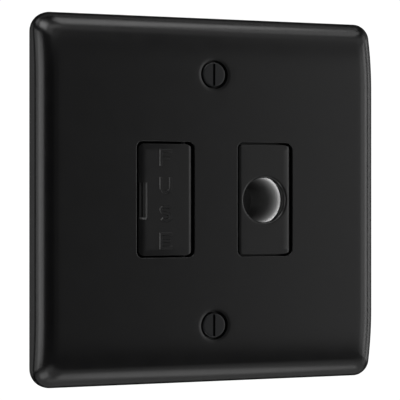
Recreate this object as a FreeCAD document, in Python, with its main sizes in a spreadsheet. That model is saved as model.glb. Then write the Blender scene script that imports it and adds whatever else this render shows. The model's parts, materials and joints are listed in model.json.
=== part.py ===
import FreeCAD, Part
import Sketcher
import math
import os

# Fused connection unit, one gang, for a flush wall box.
# Frame: X to the right seen from the front, Z up, Y into the wall.
# Y = 0 is the wall plane (the rear rim of the front plate); the origin is the
# middle of the plate on that plane, half way between the two box fixings.

os.makedirs("parts", exist_ok=True)
doc = FreeCAD.newDocument("fused_spur_unit")
V = FreeCAD.Vector

# ---------------------------------------------------------------- dimensions
DIMS = [
    # front plate, pressed from one sheet
    ("plate_w", 88.2), ("plate_h", 88.6), ("plate_depth", 7.5), ("sheet_t", 1.0),
    ("corner_r", 4.2), ("roll_r", 3.9), ("crown_start", 27.4), ("crown_r", 54.0),
    ("fix_pitch", 60.3), ("cup_r", 3.35), ("cup_wall", 0.65), ("cup_floor", 5.5),
    ("shank_hole_r", 1.95), ("stud_r", 1.25), ("stud_x", 33.0), ("stud_z", 21.0),
    ("stud_end", 0.9),
    # windows in the plate
    ("fuse_x", -12.6), ("fuse_w", 14.6), ("outlet_x", 13.54), ("outlet_w", 14.9),
    ("win_h", 27.6), ("win_r", 1.5),
    # insulating frame behind the plate
    ("frame_w", 78.0), ("frame_h", 51.0), ("frame_front", 6.5), ("frame_back", 4.5),
    # rear housing
    ("house_w", 59.0), ("house_h", 47.0), ("house_back", 20.0), ("floor_y", 2.3),
    ("chamber_h", 28.2),
    # wall gasket
    ("gasket_w", 85.6), ("gasket_in", 76.0), ("gasket_t", 1.2),
    # fuse carrier, its pin, and the cartridge
    ("panel_x0", -19.45), ("panel_x1", -5.65), ("panel_h", 26.7), ("panel_front", 7.45),
    ("panel_back", 5.5), ("pin_x", -7.6), ("pin_y", -5.7), ("pin_r", 0.7),
    ("pin_len", 31.0), ("knuckle_r", 1.6), ("letter_high", 0.25),
    ("link_x", -12.9), ("link_y", -1.6), ("cap_r", 3.175), ("cap_len", 6.0),
    ("cartridge_len", 25.4), ("tube_r", 2.95),
    # contact clips and links
    ("clip_r", 3.275), ("strip_t", 0.55), ("clip_h", 4.0), ("clip_z", 8.2), ("link_t", 0.6),
    # terminals
    ("term_w", 7.0), ("term_len", 10.0), ("term_z", 18.7), ("live_tx", -24.7),
    ("neutral_tx", -5.7), ("earth_tx", 24.7), ("wire_r", 2.0), ("wire_y", 7.0),
    ("tscrew_r", 1.75), ("tscrew_head_r", 2.8), ("run_gap", 0.02),
    # flex outlet
    ("insert_x", 13.48), ("insert_w", 13.75), ("insert_h", 26.8), ("insert_front", 7.45), ("flange_w", 16.1),
    ("flange_h", 29.0), ("flange_back", 3.0), ("bore_x", 13.2), ("bore_r", 5.4),
    ("tube_out_r", 7.0), ("tube_end", 13.0), ("mouth_r", 5.75),
    ("sleeve_r", 6.3), ("sleeve_front", 3.3), ("sleeve_fit", 0.02),
    # cord trough and clamp
    ("trough_w", 12.0), ("trough_low", -7.0), ("clamp_z", 10.0), ("clamp_w", 4.8),
    ("clamp_len", 22.0), ("clamp_t", 2.2), ("clamp_dx", 8.6), ("clamp_seat", 14.5),
    ("cscrew_r", 1.5), ("cscrew_head_r", 2.7),
    # box fixing screws
    ("fix_r", 1.75), ("fix_head_r", 3.0), ("fix_head_t", 1.65), ("fix_len", 24.9),
    ("fix_neck_r", 1.4), ("fix_neck_len", 1.1),
]
sheet = doc.addObject("Spreadsheet::Sheet", "Dims")
SIZE = {}
for row, (alias, value) in enumerate(DIMS, start=1):
    sheet.set("A%d" % row, alias)
    sheet.set("B%d" % row, repr(float(value)))
    sheet.setAlias("B%d" % row, alias)
    SIZE[alias] = float(value)
doc.recompute()


class Q:
    """A size that carries its number and the sheet expression it comes from."""

    def __init__(self, val, txt):
        self.val = float(val)
        self.txt = txt

    @staticmethod
    def of(other):
        return other if isinstance(other, Q) else Q(other, "(%r)" % float(other))

    def __add__(self, o):
        o = Q.of(o)
        return Q(self.val + o.val, "(%s + %s)" % (self.txt, o.txt))

    __radd__ = __add__

    def __sub__(self, o):
        o = Q.of(o)
        return Q(self.val - o.val, "(%s - %s)" % (self.txt, o.txt))

    def __rsub__(self, o):
        return Q.of(o) - self

    def __mul__(self, o):
        o = Q.of(o)
        return Q(self.val * o.val, "(%s * %s)" % (self.txt, o.txt))

    __rmul__ = __mul__

    def __truediv__(self, o):
        o = Q.of(o)
        return Q(self.val / o.val, "(%s / %s)" % (self.txt, o.txt))

    def __neg__(self):
        return Q(-self.val, "(0 - %s)" % self.txt)


def q(name):
    return Q(SIZE[name], "Dims." + name)


def bind(obj, prop, size):
    size = Q.of(size)
    obj.setExpression(prop, size.txt)


# ---------------------------------------------------------------- sketching
def plane(body, role):
    for o in body.Origin.OriginFeatures:
        if o.Role == role:
            return o


def body_named(label):
    b = doc.addObject("PartDesign::Body", label)
    b.Label = label
    return b


def sketch(body, name, role, offset):
    """A sketch on an origin plane of its body. On XZ_Plane the sketch normal
    points to the front, so the offset is minus Y."""
    sk = body.newObject("Sketcher::SketchObject", name)
    sk.AttachmentSupport = [(plane(body, role), "")]
    sk.MapMode = "FlatFace"
    off = Q.of(offset)
    sk.AttachmentOffset = FreeCAD.Placement(V(0, 0, off.val), FreeCAD.Rotation())
    if isinstance(offset, Q):
        sk.setExpression("AttachmentOffset.Base.z", off.txt)
    return sk


def datum(sk, kind, geo, pos, size):
    size = Q.of(size)
    i = sk.addConstraint(Sketcher.Constraint(kind, -1, 1, geo, pos, size.val))
    sk.setExpression("Constraints[%d]" % i, size.txt)


def rect(sk, x0, y0, x1, y1):
    a, b, c, d = [Q.of(v) for v in (x0, y0, x1, y1)]
    P = [V(a.val, b.val, 0), V(c.val, b.val, 0), V(c.val, d.val, 0), V(a.val, d.val, 0)]
    g = [sk.addGeometry(Part.LineSegment(P[i], P[(i + 1) % 4]), False) for i in range(4)]
    for i in range(4):
        sk.addConstraint(Sketcher.Constraint("Coincident", g[i], 2, g[(i + 1) % 4], 1))
    for i in (0, 2):
        sk.addConstraint(Sketcher.Constraint("Horizontal", g[i]))
        sk.addConstraint(Sketcher.Constraint("Vertical", g[i + 1]))
    datum(sk, "DistanceX", g[0], 1, a)
    datum(sk, "DistanceY", g[0], 1, b)
    datum(sk, "DistanceX", g[1], 2, c)
    datum(sk, "DistanceY", g[1], 2, d)


def circle(sk, x, y, r):
    x, y, r = Q.of(x), Q.of(y), Q.of(r)
    g = sk.addGeometry(Part.Circle(V(x.val, y.val, 0), V(0, 0, 1), r.val), False)
    datum(sk, "DistanceX", g, 3, x)
    datum(sk, "DistanceY", g, 3, y)
    i = sk.addConstraint(Sketcher.Constraint("Radius", g, r.val))
    sk.setExpression("Constraints[%d]" % i, r.txt)


def polygon(sk, pts, tied=True):
    """Closed outline. pts are (x, y) pairs; each corner is tied to the sheet
    by its own pair of distances unless tied is False."""
    pts = [(Q.of(x), Q.of(y)) for x, y in pts]
    n = len(pts)
    g = []
    for i in range(n):
        a, b = pts[i], pts[(i + 1) % n]
        g.append(sk.addGeometry(Part.LineSegment(V(a[0].val, a[1].val, 0), V(b[0].val, b[1].val, 0)), False))
    for i in range(n):
        sk.addConstraint(Sketcher.Constraint("Coincident", g[i], 2, g[(i + 1) % n], 1))
    if tied:
        for i in range(n):
            datum(sk, "DistanceX", g[i], 1, pts[i][0])
            datum(sk, "DistanceY", g[i], 1, pts[i][1])
    return g


def pad(body, name, sk, length, reverse=False):
    f = body.newObject("PartDesign::Pad", name)
    f.Profile = sk
    f.Length = Q.of(length).val
    bind(f, "Length", length)
    f.Reversed = reverse
    sk.Visibility = False
    return f


def pocket(body, name, sk, length, reverse=False):
    before = doc_volume(body)
    f = body.newObject("PartDesign::Pocket", name)
    f.Profile = sk
    f.Length = Q.of(length).val
    bind(f, "Length", length)
    f.Reversed = reverse
    doc.recompute()
    after = f.Shape.Volume
    if not after < before - 1e-6:
        raise RuntimeError("pocket %s cut nothing" % name)
    return f


def doc_volume(body):
    doc.recompute()
    return body.Tip.Shape.Volume


def edges_of(feature, test):
    out = []
    for i, e in enumerate(feature.Shape.Edges, start=1):
        if test(e):
            out.append("Edge%d" % i)
    return out


def fillet(body, name, feature, test, radius):
    doc.recompute()
    names = edges_of(feature, test)
    if not names:
        raise RuntimeError("no edge for " + name)
    f = body.newObject("PartDesign::Fillet", name)
    f.Base = (feature, names)
    f.Radius = Q.of(radius).val
    bind(f, "Radius", radius)
    doc.recompute()
    return f


def straight_y(e):
    if len(e.Vertexes) != 2:
        return False
    a, b = e.Vertexes[0].Point, e.Vertexes[1].Point
    return abs(a.x - b.x) < 1e-6 and abs(a.z - b.z) < 1e-6 and abs(a.y - b.y) > 1e-6


def flat_at_y(e, y, tol=1e-5):
    bb = e.BoundBox
    return abs(bb.YMin - y) < tol and abs(bb.YMax - y) < tol


# ---------------------------------------------------------------- solids
def place(obj, x, y, z):
    for axis, size in (("x", x), ("y", y), ("z", z)):
        obj.setExpression("Placement.Base." + axis, Q.of(size).txt)


def box(name, x0, x1, y0, y1, z0, z1):
    b = doc.addObject("Part::Box", name)
    x0, x1, y0, y1, z0, z1 = [Q.of(v) for v in (x0, x1, y0, y1, z0, z1)]
    bind(b, "Length", x1 - x0)
    bind(b, "Width", y1 - y0)
    bind(b, "Height", z1 - z0)
    place(b, x0, y0, z0)
    return b


def cyl(name, r, x, y, z, length, axis, angle=None):
    """Cylinder that starts at x, y, z and runs along +Y or +Z."""
    c = doc.addObject("Part::Cylinder", name)
    if axis == "y":
        c.Placement = FreeCAD.Placement(V(0, 0, 0), FreeCAD.Rotation(V(1, 0, 0), -90))
    bind(c, "Radius", r)
    bind(c, "Height", length)
    if angle is not None:
        c.Angle = angle
    place(c, x, y, z)
    return c


def cut(name, base, tool):
    c = doc.addObject("Part::Cut", name)
    c.Base = base
    c.Tool = tool
    return c


def fuse(name, shapes):
    f = doc.addObject("Part::MultiFuse", name)
    f.Shapes = shapes
    f.Refine = True
    return f


NODES = {}


def node(label, obj):
    obj.Label = label
    NODES[label] = obj


half_w = q("plate_w") / 2
half_h = q("plate_h") / 2

# ---------------------------------------------------------------- front plate
# One pressed sheet: flat over the middle, curving back towards the top and
# bottom ends, all four sides rolled over into a short skirt. Two windows, two
# cups for the fixing screws, four weld studs on the back.
plate = body_named("front_plate")
sk = sketch(plate, "PlateOutline", "XZ_Plane", 0.0)
rect(sk, -half_w, -half_h, half_w, half_h)
blank = pad(plate, "PlateBlank", sk, q("plate_depth"))
rounded = fillet(plate, "PlateCorners", blank, straight_y, q("corner_r"))

# crown: what lies in front of the curve is cut away, above and below
for sign, tag in ((1, "Top"), (-1, "Bottom")):
    sk = sketch(plate, "Crown" + tag, "YZ_Plane", -half_w - 1.0)
    F = SIZE["plate_depth"]
    s0, R = SIZE["crown_start"], SIZE["crown_r"]
    zend = SIZE["plate_h"] / 2 + 1.0
    yc = -F + R
    ang = math.asin((zend - s0) / R)
    yend = yc - R * math.cos(ang)
    p0 = V(-F, sign * s0, 0)
    p1 = V(yend, sign * zend, 0)
    p2 = V(-F - 2.0, sign * zend, 0)
    p3 = V(-F - 2.0, sign * s0, 0)
    mid = V(yc - R * math.cos(ang / 2), sign * (s0 + R * math.sin(ang / 2)), 0)
    arc = sk.addGeometry(Part.Arc(p0, mid, p1), False)
    a_start = sk.getPoint(arc, 1)
    first, last = (1, 2) if (a_start - p0).Length < 1e-4 else (2, 1)
    l1 = sk.addGeometry(Part.LineSegment(p1, p2), False)
    l2 = sk.addGeometry(Part.LineSegment(p2, p3), False)
    l3 = sk.addGeometry(Part.LineSegment(p3, p0), False)
    C = Sketcher.Constraint
    sk.addConstraint(C("Coincident", arc, last, l1, 1))
    sk.addConstraint(C("Coincident", l1, 2, l2, 1))
    sk.addConstraint(C("Coincident", l2, 2, l3, 1))
    sk.addConstraint(C("Coincident", l3, 2, arc, first))
    sk.addConstraint(C("Horizontal", l1))
    sk.addConstraint(C("Vertical", l2))
    sk.addConstraint(C("Horizontal", l3))
    datum(sk, "DistanceX", l3, 2, -q("plate_depth"))
    datum(sk, "DistanceY", l3, 2, sign * q("crown_start"))
    datum(sk, "DistanceY", l1, 1, sign * (half_h + 1.0))
    datum(sk, "DistanceX", l2, 1, -q("plate_depth") - 2.0)
    datum(sk, "DistanceX", arc, 3, q("crown_r") - q("plate_depth"))
    datum(sk, "DistanceY", arc, 3, sign * q("crown_start"))
    crown = pocket(plate, "CrownCut" + tag, sk, q("plate_w") + 2.0, reverse=True)


def front_rim(e):
    # the closed loop where the face meets the sides
    bb = e.BoundBox
    if bb.YMax > -3.5:
        return False
    c = e.valueAt((e.FirstParameter + e.LastParameter) / 2)
    return abs(c.x) > 40 or abs(c.z) > 43


rolled = fillet(plate, "PlateRoll", crown, front_rim, q("roll_r"))
back = [("Face%d" % i) for i, f in enumerate(rolled.Shape.Faces, start=1)
        if abs(f.BoundBox.YMin) < 1e-6 and abs(f.BoundBox.YMax) < 1e-6]
shell = plate.newObject("PartDesign::Thickness", "PlateShell")
shell.Base = (rolled, back)
shell.Value = SIZE["sheet_t"]
bind(shell, "Value", q("sheet_t"))
shell.Reversed = True
shell.Mode = 0
shell.Join = 0
doc.recompute()
print("plate blank", rolled.Shape.Volume, "shell", shell.Shape.Volume, shell.State)

# cups for the fixing screws, then the weld studs
sk = sketch(plate, "CupOutside", "XZ_Plane", q("cup_floor") - q("cup_wall"))
for s in (1, -1):
    circle(sk, 0.0, s * q("fix_pitch") / 2, q("cup_r") + q("cup_wall"))
pad(plate, "CupPad", sk, q("plate_depth") - q("sheet_t") / 2 - q("cup_floor") + q("cup_wall"))
sk = sketch(plate, "StudEnds", "XZ_Plane", q("stud_end"))
for sx in (1, -1):
    for sz in (1, -1):
        circle(sk, sx * q("stud_x"), sz * q("stud_z"), q("stud_r"))
pad(plate, "WeldStuds", sk, q("plate_depth") - q("sheet_t") * 0.8 - q("stud_end"))
sk = sketch(plate, "CupInside", "XZ_Plane", q("plate_depth"))
for s in (1, -1):
    circle(sk, 0.0, s * q("fix_pitch") / 2, q("cup_r"))
pocket(plate, "CupPocket", sk, q("plate_depth") - q("cup_floor"))
sk = sketch(plate, "ShankHoles", "XZ_Plane", q("plate_depth"))
for s in (1, -1):
    circle(sk, 0.0, s * q("fix_pitch") / 2, q("shank_hole_r"))
pocket(plate, "ShankPocket", sk, q("plate_depth"))
sk = sketch(plate, "Windows", "XZ_Plane", q("plate_depth"))
rect(sk, q("fuse_x") - q("fuse_w") / 2, -q("win_h") / 2, q("fuse_x") + q("fuse_w") / 2, q("win_h") / 2)
rect(sk, q("outlet_x") - q("outlet_w") / 2, -q("win_h") / 2, q("outlet_x") + q("outlet_w") / 2, q("win_h") / 2)
win = pocket(plate, "WindowPocket", sk, q("sheet_t") * 1.5)


def window_corner(e):
    if not straight_y(e):
        return False
    p = e.Vertexes[0].Point
    return abs(p.x) < 22 and abs(abs(p.z) - SIZE["win_h"] / 2) < 1e-4


fillet(plate, "WindowCorners", win, window_corner, q("win_r"))
node("front_plate", plate)

# ---------------------------------------------------------------- wall gasket
gasket = body_named("wall_gasket")
sk = sketch(gasket, "GasketOutline", "XZ_Plane", 0.0)
rect(sk, -q("gasket_w") / 2, -q("gasket_w") / 2, q("gasket_w") / 2, q("gasket_w") / 2)
g0 = pad(gasket, "GasketPad", sk, q("gasket_t"))
fillet(gasket, "GasketCorners", g0, straight_y, q("corner_r") - q("sheet_t"))
sk = sketch(gasket, "GasketOpening", "XZ_Plane", q("gasket_t"))
rect(sk, -q("gasket_in") / 2, -q("gasket_in") / 2, q("gasket_in") / 2, q("gasket_in") / 2)
pocket(gasket, "GasketPocket", sk, q("gasket_t"))
node("wall_gasket", gasket)

# ---------------------------------------------------------------- insulating frame
frame = body_named("insulating_frame")
sk = sketch(frame, "FrameOutline", "XZ_Plane", q("frame_back"))
rect(sk, -q("frame_w") / 2, -q("frame_h") / 2, q("frame_w") / 2, q("frame_h") / 2)
f0 = pad(frame, "FramePad", sk, q("frame_front") - q("frame_back"))
fillet(frame, "FrameCorners", f0, straight_y, 2.5)
open_fx0 = q("fuse_x") - q("fuse_w") / 2 - 0.3
open_fx1 = q("fuse_x") + q("fuse_w") / 2 + 0.3
sk = sketch(frame, "FrameOpenings", "XZ_Plane", q("frame_front"))
rect(sk, open_fx0, -q("chamber_h") / 2, open_fx1, q("chamber_h") / 2)
rect(sk, q("insert_x") - q("insert_w") / 2 - 0.7, -q("insert_h") / 2 - 0.55,
     q("insert_x") + q("insert_w") / 2 + 0.7, q("insert_h") / 2 + 0.55)
for sx in (1, -1):
    for sz in (1, -1):
        circle(sk, sx * q("stud_x"), sz * q("stud_z"), q("stud_r") + 0.15)
pocket(frame, "FrameOpeningPocket", sk, q("frame_front") - q("frame_back"))
sk = sketch(frame, "PinGrooves", "XZ_Plane", q("frame_front"))
rect(sk, q("pin_x") - q("pin_r") - 0.02, -q("pin_len") / 2 - 0.1, q("pin_x") + q("pin_r") + 0.02, q("pin_len") / 2 + 0.1)
pocket(frame, "PinGroovePocket", sk, q("frame_front") + q("pin_y") + q("pin_r") + 0.02)
ASM = ((-25.0, 0.0), (27.4, 0.0))
sk = sketch(frame, "AssemblyHeads", "XZ_Plane", q("frame_front"))
for x, z in ASM:
    circle(sk, x, z, 2.35)
pocket(frame, "AssemblyHeadPocket", sk, 1.2)
sk = sketch(frame, "AssemblyShanks", "XZ_Plane", q("frame_front"))
for x, z in ASM:
    circle(sk, x, z, 1.3)
pocket(frame, "AssemblyShankPocket", sk, q("frame_front") - q("frame_back"))
node("insulating_frame", frame)

# ---------------------------------------------------------------- rear housing
house = body_named("rear_housing")
hw, hh = q("house_w") / 2, q("house_h") / 2
fb = q("frame_back")
sk = sketch(house, "HouseOutline", "XZ_Plane", -q("house_back"))
rect(sk, -hw, -hh, hw, hh)
h0 = pad(house, "HousePad", sk, q("house_back") + fb)
fillet(house, "HouseCorners", h0, straight_y, 2.5)


def front_pocket(name, shapes, depth):
    s = sketch(house, name + "Sketch", "XZ_Plane", fb)
    for kind, args in shapes:
        (rect if kind == "r" else circle)(s, *args)
    return pocket(house, name, s, depth)


def rear_pocket(name, shapes, y_floor):
    s = sketch(house, name + "Sketch", "XZ_Plane", -q("house_back"))
    for kind, args in shapes:
        (rect if kind == "r" else circle)(s, *args)
    return pocket(house, name, s, q("house_back") - y_floor, reverse=True)


down = fb + q("floor_y")
tz = q("term_z")
th = q("term_w") / 2 + 0.2
# fuse chamber with the clip tail channels running to the live terminals
front_pocket("FuseChamber", [("r", (open_fx0, -q("chamber_h") / 2, open_fx1, q("chamber_h") / 2))], down)
front_pocket("TailChannels", [
    ("r", (q("live_tx") - 3.2, 7.9, open_fx0 + 0.5, 12.5)),
    ("r", (q("live_tx") - 3.2, -12.5, open_fx0 + 0.5, -7.9))], down)
front_pocket("TailRisers", [
    ("r", (q("live_tx") - 3.2, 12.0, q("live_tx") + 2.9, tz + 1.2)),
    ("r", (q("live_tx") - 3.2, -tz - 1.2, q("live_tx") + 2.9, -12.0))], down)
# channels for the neutral link and the earth strap
front_pocket("LinkChannels", [
    ("r", (-4.4, -tz - 1.5, -1.2, tz + 1.5)),
    ("r", (22.4, -tz - 1.5, 25.2, tz - 3.0))], down)
front_pocket("EarthFlagChannel", [("r", (22.4, tz - 3.3, hw + 1.0, tz + 3.3))], down)
# seat for the flange of the outlet insert and the hole for its tube
front_pocket("InsertSeat", [("r", (q("outlet_x") - q("flange_w") / 2 - 0.1, -q("flange_h") / 2 - 0.1,
                                  q("outlet_x") + q("flange_w") / 2 + 0.1, q("flange_h") / 2 + 0.1))],
             fb - q("flange_back"))
front_pocket("TubeHole", [("c", (q("bore_x"), 0.0, q("tube_out_r") + 0.05))], fb + q("tube_end"))
# pilot holes for the two assembly screws
front_pocket("PilotHoles", [("c", (x, z, 1.12)) for x, z in ASM], 9.0)
# terminal chambers, open to the rear
term_xs = [q("live_tx"), q("neutral_tx"), q("earth_tx")]
rear_pocket("TerminalChambers",
            [("r", (x - th, s * tz - th, x + th, s * tz + th)) for x in term_xs for s in (1, -1)],
            q("floor_y"))
# cord trough from behind the bore up to the top edge, and the clamp's seat
rear_pocket("CordTrough", [("r", (q("bore_x") - q("trough_w") / 2, q("trough_low"),
                                 q("bore_x") + q("trough_w") / 2, hh + 1.0))], q("tube_end"))
rear_pocket("ClampSeat", [("r", (q("bore_x") - q("clamp_len") / 2 - 0.4, q("clamp_z") - q("clamp_w") / 2 - 0.3,
                                q("bore_x") + q("clamp_len") / 2 + 0.4, q("clamp_z") + q("clamp_w") / 2 + 0.3))],
            q("clamp_seat"))
rear_pocket("ClampScrewHoles", [("c", (q("bore_x") + s * q("clamp_dx"), q("clamp_z"), q("cscrew_r") + 0.02))
                                for s in (1, -1)], 6.0)
# wire entries through the top and bottom walls
for s, tag in ((1, "Top"), (-1, "Bottom")):
    sk = sketch(house, "WireEntry" + tag, "XY_Plane", s * (hh + 1.0))
    for x in term_xs:
        circle(sk, x, q("wire_y"), q("wire_r") + 0.4)
    pocket(house, "WireEntryPocket" + tag, sk, hh + 1.0 - tz, reverse=(s < 0))
node("rear_housing", house)

# ---------------------------------------------------------------- outlet insert
insert = body_named("outlet_insert")
ox, bx = q("outlet_x"), q("bore_x")
sk = sketch(insert, "InsertFace", "XZ_Plane", q("frame_back"))
rect(sk, q("insert_x") - q("insert_w") / 2, -q("insert_h") / 2, q("insert_x") + q("insert_w") / 2, q("insert_h") / 2)
i0 = pad(insert, "InsertBlock", sk, q("insert_front") - q("frame_back"))
i1 = fillet(insert, "InsertCorners", i0, lambda e: straight_y(e) and e.Vertexes[0].Point.x < SIZE["insert_x"], 1.2)
i1 = fillet(insert, "InsertCornersRight", i1, lambda e: straight_y(e) and e.Vertexes[0].Point.x > 20.0, 1.9)
i2 = fillet(insert, "InsertEdge", i1, lambda e: flat_at_y(e, -SIZE["insert_front"]), 0.5)
sk = sketch(insert, "InsertFlange", "XZ_Plane", q("flange_back"))
rect(sk, ox - q("flange_w") / 2, -q("flange_h") / 2, ox + q("flange_w") / 2, q("flange_h") / 2)
pad(insert, "FlangePad", sk, q("frame_back") - q("flange_back"))
sk = sketch(insert, "TubeOutline", "XZ_Plane", -q("tube_end"))
circle(sk, bx, 0.0, q("tube_out_r"))
pad(insert, "TubePad", sk, q("tube_end") + q("flange_back"))
# mouth, and behind it the socket for the sleeve, turned about the bore's axis
sk = sketch(insert, "BoreSection", "XY_Plane", 0.0)
yf = -SIZE["insert_front"]
bxv, br, mr = SIZE["bore_x"], SIZE["bore_r"], SIZE["mouth_r"]
so = SIZE["sleeve_r"] + SIZE["sleeve_fit"]
te = SIZE["tube_end"]
sec = [(0.0, yf - 1.0), (mr + 0.3, yf - 1.0), (mr + 0.3, yf)]
for k in range(1, 7):
    a = math.radians(90.0 * k / 6)
    sec.append((mr + 0.3 - 0.3 * math.sin(a), yf + 0.3 * (1 - math.cos(a))))
sec += [(mr, yf + 1.6), (so, yf + 1.6), (so, te + 1.0), (0.0, te + 1.0)]
polygon(sk, [(bx + r, Q.of(0.0) + y) for r, y in sec])
axis_line = sk.addGeometry(Part.LineSegment(V(bxv, yf - 1.0, 0), V(bxv, SIZE["tube_end"] + 1.0, 0)), True)
gr = insert.newObject("PartDesign::Groove", "BoreGroove")
gr.Profile = sk
gr.ReferenceAxis = (sk, ["Axis0"])
gr.Angle = 360.0
doc.recompute()
print("insert before/after bore", insert.Shape.Volume)
node("outlet_insert", insert)

# ---------------------------------------------------------------- sleeve in the bore
sleeve = body_named("outlet_sleeve")
sk = sketch(sleeve, "SleeveSection", "XY_Plane", 0.0)
sr, sf = SIZE["sleeve_r"], -SIZE["sleeve_front"]
sec = [(sr, te), (sr, sf + 0.05), (sr - 0.05, sf)]
for k in range(1, 9):
    a = math.radians(90.0 * k / 8)
    sec.append((br + (sr - 0.05 - br) * (1 - math.sin(a)), sf + 1.3 * (1 - math.cos(a))))
sec += [(br, te)]
polygon(sk, [(bx + r, Q.of(0.0) + y) for r, y in sec])
sk.addGeometry(Part.LineSegment(V(bxv, sf - 1.0, 0), V(bxv, te + 1.0, 0)), True)
turned = sleeve.newObject("PartDesign::Revolution", "SleeveTurned")
turned.Profile = sk
turned.ReferenceAxis = (sk, ["Axis0"])
turned.Angle = 360.0
doc.recompute()
print("sleeve", sleeve.Shape.Volume, turned.State)
node("outlet_sleeve", sleeve)

# ---------------------------------------------------------------- fuse carrier
carrier = body_named("fuse_carrier")
px0, px1, ph = q("panel_x0"), q("panel_x1"), q("panel_h") / 2
pf, pb = q("panel_front"), q("panel_back")
sk = sketch(carrier, "PanelOutline", "XZ_Plane", pb)
rect(sk, px0, -ph, px1, ph)
c0 = pad(carrier, "Panel", sk, pf - pb)
c1 = fillet(carrier, "PanelCorners", c0, lambda e: straight_y(e) and e.Vertexes[0].Point.x < SIZE["link_x"], 1.2)
c1 = fillet(carrier, "PanelCornersRight", c1, lambda e: straight_y(e) and e.Vertexes[0].Point.x > -6.0, 2.4)
c2 = fillet(carrier, "PanelEdge", c1, lambda e: flat_at_y(e, -SIZE["panel_front"]), 0.6)
# cradle that grips the middle of the cartridge, and its two end stops
sk = sketch(carrier, "CradleOutline", "XZ_Plane", -Q.of(0.5))
rect(sk, q("link_x") - 4.45, -6.3, q("link_x") + 4.45, 6.3)
pad(carrier, "Cradle", sk, pb + 0.5)
sk = sketch(carrier, "EndStops", "XZ_Plane", 1.0)
rect(sk, q("link_x") - 2.6, q("cartridge_len") / 2 + 0.05, q("link_x") + 2.6, ph - 0.02)
rect(sk, q("link_x") - 2.6, -ph + 0.02, q("link_x") + 2.6, -q("cartridge_len") / 2 - 0.05)
pad(carrier, "EndStopPads", sk, pb - 1.0 + 0.2)
# knuckle round the pin along the right edge
sk = sketch(carrier, "KnuckleRing", "XY_Plane", -ph)
circle(sk, q("pin_x"), q("pin_y"), q("knuckle_r"))
pad(carrier, "Knuckle", sk, ph * 2)
sk = sketch(carrier, "CartridgeBed", "XY_Plane", -Q.of(6.4))
circle(sk, q("link_x"), q("link_y"), q("tube_r") + 0.03)
pocket(carrier, "CartridgeBedPocket", sk, 12.8, reverse=True)
sk = sketch(carrier, "PinBore", "XY_Plane", -ph - 0.5)
circle(sk, q("pin_x"), q("pin_y"), q("pin_r") + 0.03)
pocket(carrier, "PinBorePocket", sk, ph * 2 + 1.0, reverse=True)
# finger notch in the left edge, with a deeper step against the window
sk = sketch(carrier, "NotchOutline", "XZ_Plane", pf)
rect(sk, px0 - 0.5, -4.15, px0 + 1.85, 4.15)
pocket(carrier, "Notch", sk, 0.85)
sk = sketch(carrier, "NotchStep", "XZ_Plane", pf)
rect(sk, px0 - 0.5, -4.15, px0 + 1.3, 4.15)
pocket(carrier, "NotchStepPocket", sk, 1.2)
# raised word for the part's function, plain strokes, read downwards
lx, lw, lh, st = -12.55, 3.3, 4.0, 0.85
LZ = (9.9, 3.45, -3.45, -9.9)
sk = sketch(carrier, "RaisedWord", "XZ_Plane", pf)
x0, x1 = lx - lw / 2, lx + lw / 2


def up(z, pts):
    polygon(sk, [(x, z + y) for x, y in pts], tied=False)


t2 = lh / 2
up(LZ[0], [(x0, -t2), (x0 + st, -t2), (x0 + st, -0.45), (x1 - 0.5, -0.45), (x1 - 0.5, 0.25),
           (x0 + st, 0.25), (x0 + st, t2 - st), (x1, t2 - st), (x1, t2), (x0, t2)])
ro, ri = lw / 2, lw / 2 - st
pts = [(x0, t2)]
for k in range(0, 13):
    a = math.pi + math.pi * k / 12
    pts.append((lx + ro * math.cos(a), -t2 + ro + ro * math.sin(a)))
pts += [(x1, t2), (x1 - st, t2)]
for k in range(0, 13):
    a = -math.pi * k / 12
    pts.append((lx + ri * math.cos(a), -t2 + ro + ri * math.sin(a)))
pts.append((x0 + st, t2))
up(LZ[1], pts)
mid = []
for k in range(0, 15):
    a = math.radians(25 + (270 - 25) * k / 14)
    mid.append((1.22 * math.cos(a), 0.83 + 0.82 * math.sin(a)))
low = []
for k in range(1, 15):
    a = math.radians(90 - (90 + 155) * k / 14)
    low.append((1.22 * math.cos(a), -0.83 + 0.82 * math.sin(a)))
mid += low
left, right = [], []
for i, (x, y) in enumerate(mid):
    xa, ya = mid[max(i - 1, 0)]
    xb, yb = mid[min(i + 1, len(mid) - 1)]
    n = math.hypot(xb - xa, yb - ya)
    nx, ny = -(yb - ya) / n, (xb - xa) / n
    left.append((lx + x + nx * st / 2, y + ny * st / 2))
    right.append((lx + x - nx * st / 2, y - ny * st / 2))
up(LZ[2], left + right[::-1])
up(LZ[3], [(x0, -t2), (x1, -t2), (x1, -t2 + st), (x0 + st, -t2 + st), (x0 + st, -st / 2), (x1 - 0.4, -st / 2),
           (x1 - 0.4, st / 2), (x0 + st, st / 2), (x0 + st, t2 - st), (x1, t2 - st), (x1, t2), (x0, t2)])
pad(carrier, "RaisedWordPad", sk, q("letter_high"))
node("fuse_carrier", carrier)

# ---------------------------------------------------------------- hinge pin
node("carrier_hinge_pin", cyl("carrier_hinge_pin", q("pin_r"), q("pin_x"), q("pin_y"), -q("pin_len") / 2, q("pin_len"), "z"))

# ---------------------------------------------------------------- cartridge fuse
half_c = q("cartridge_len") / 2
node("fuse_body", cyl("fuse_body", q("tube_r"), q("link_x"), q("link_y"), -half_c + 0.5, q("cartridge_len") - 1.0, "z"))
for s, tag in ((1, "upper"), (-1, "lower")):
    z0 = half_c - q("cap_len") if s > 0 else -half_c
    zi = half_c - q("cap_len") - 1.0 if s > 0 else -half_c + 0.45
    outer = cyl("cap_outer_" + tag, q("cap_r"), q("link_x"), q("link_y"), z0, q("cap_len"), "z")
    inner = cyl("cap_inner_" + tag, q("tube_r") + 0.01, q("link_x"), q("link_y"), zi, q("cap_len") + 0.55, "z")
    node("fuse_cap_" + tag, cut("fuse_cap_" + tag, outer, inner))

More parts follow.
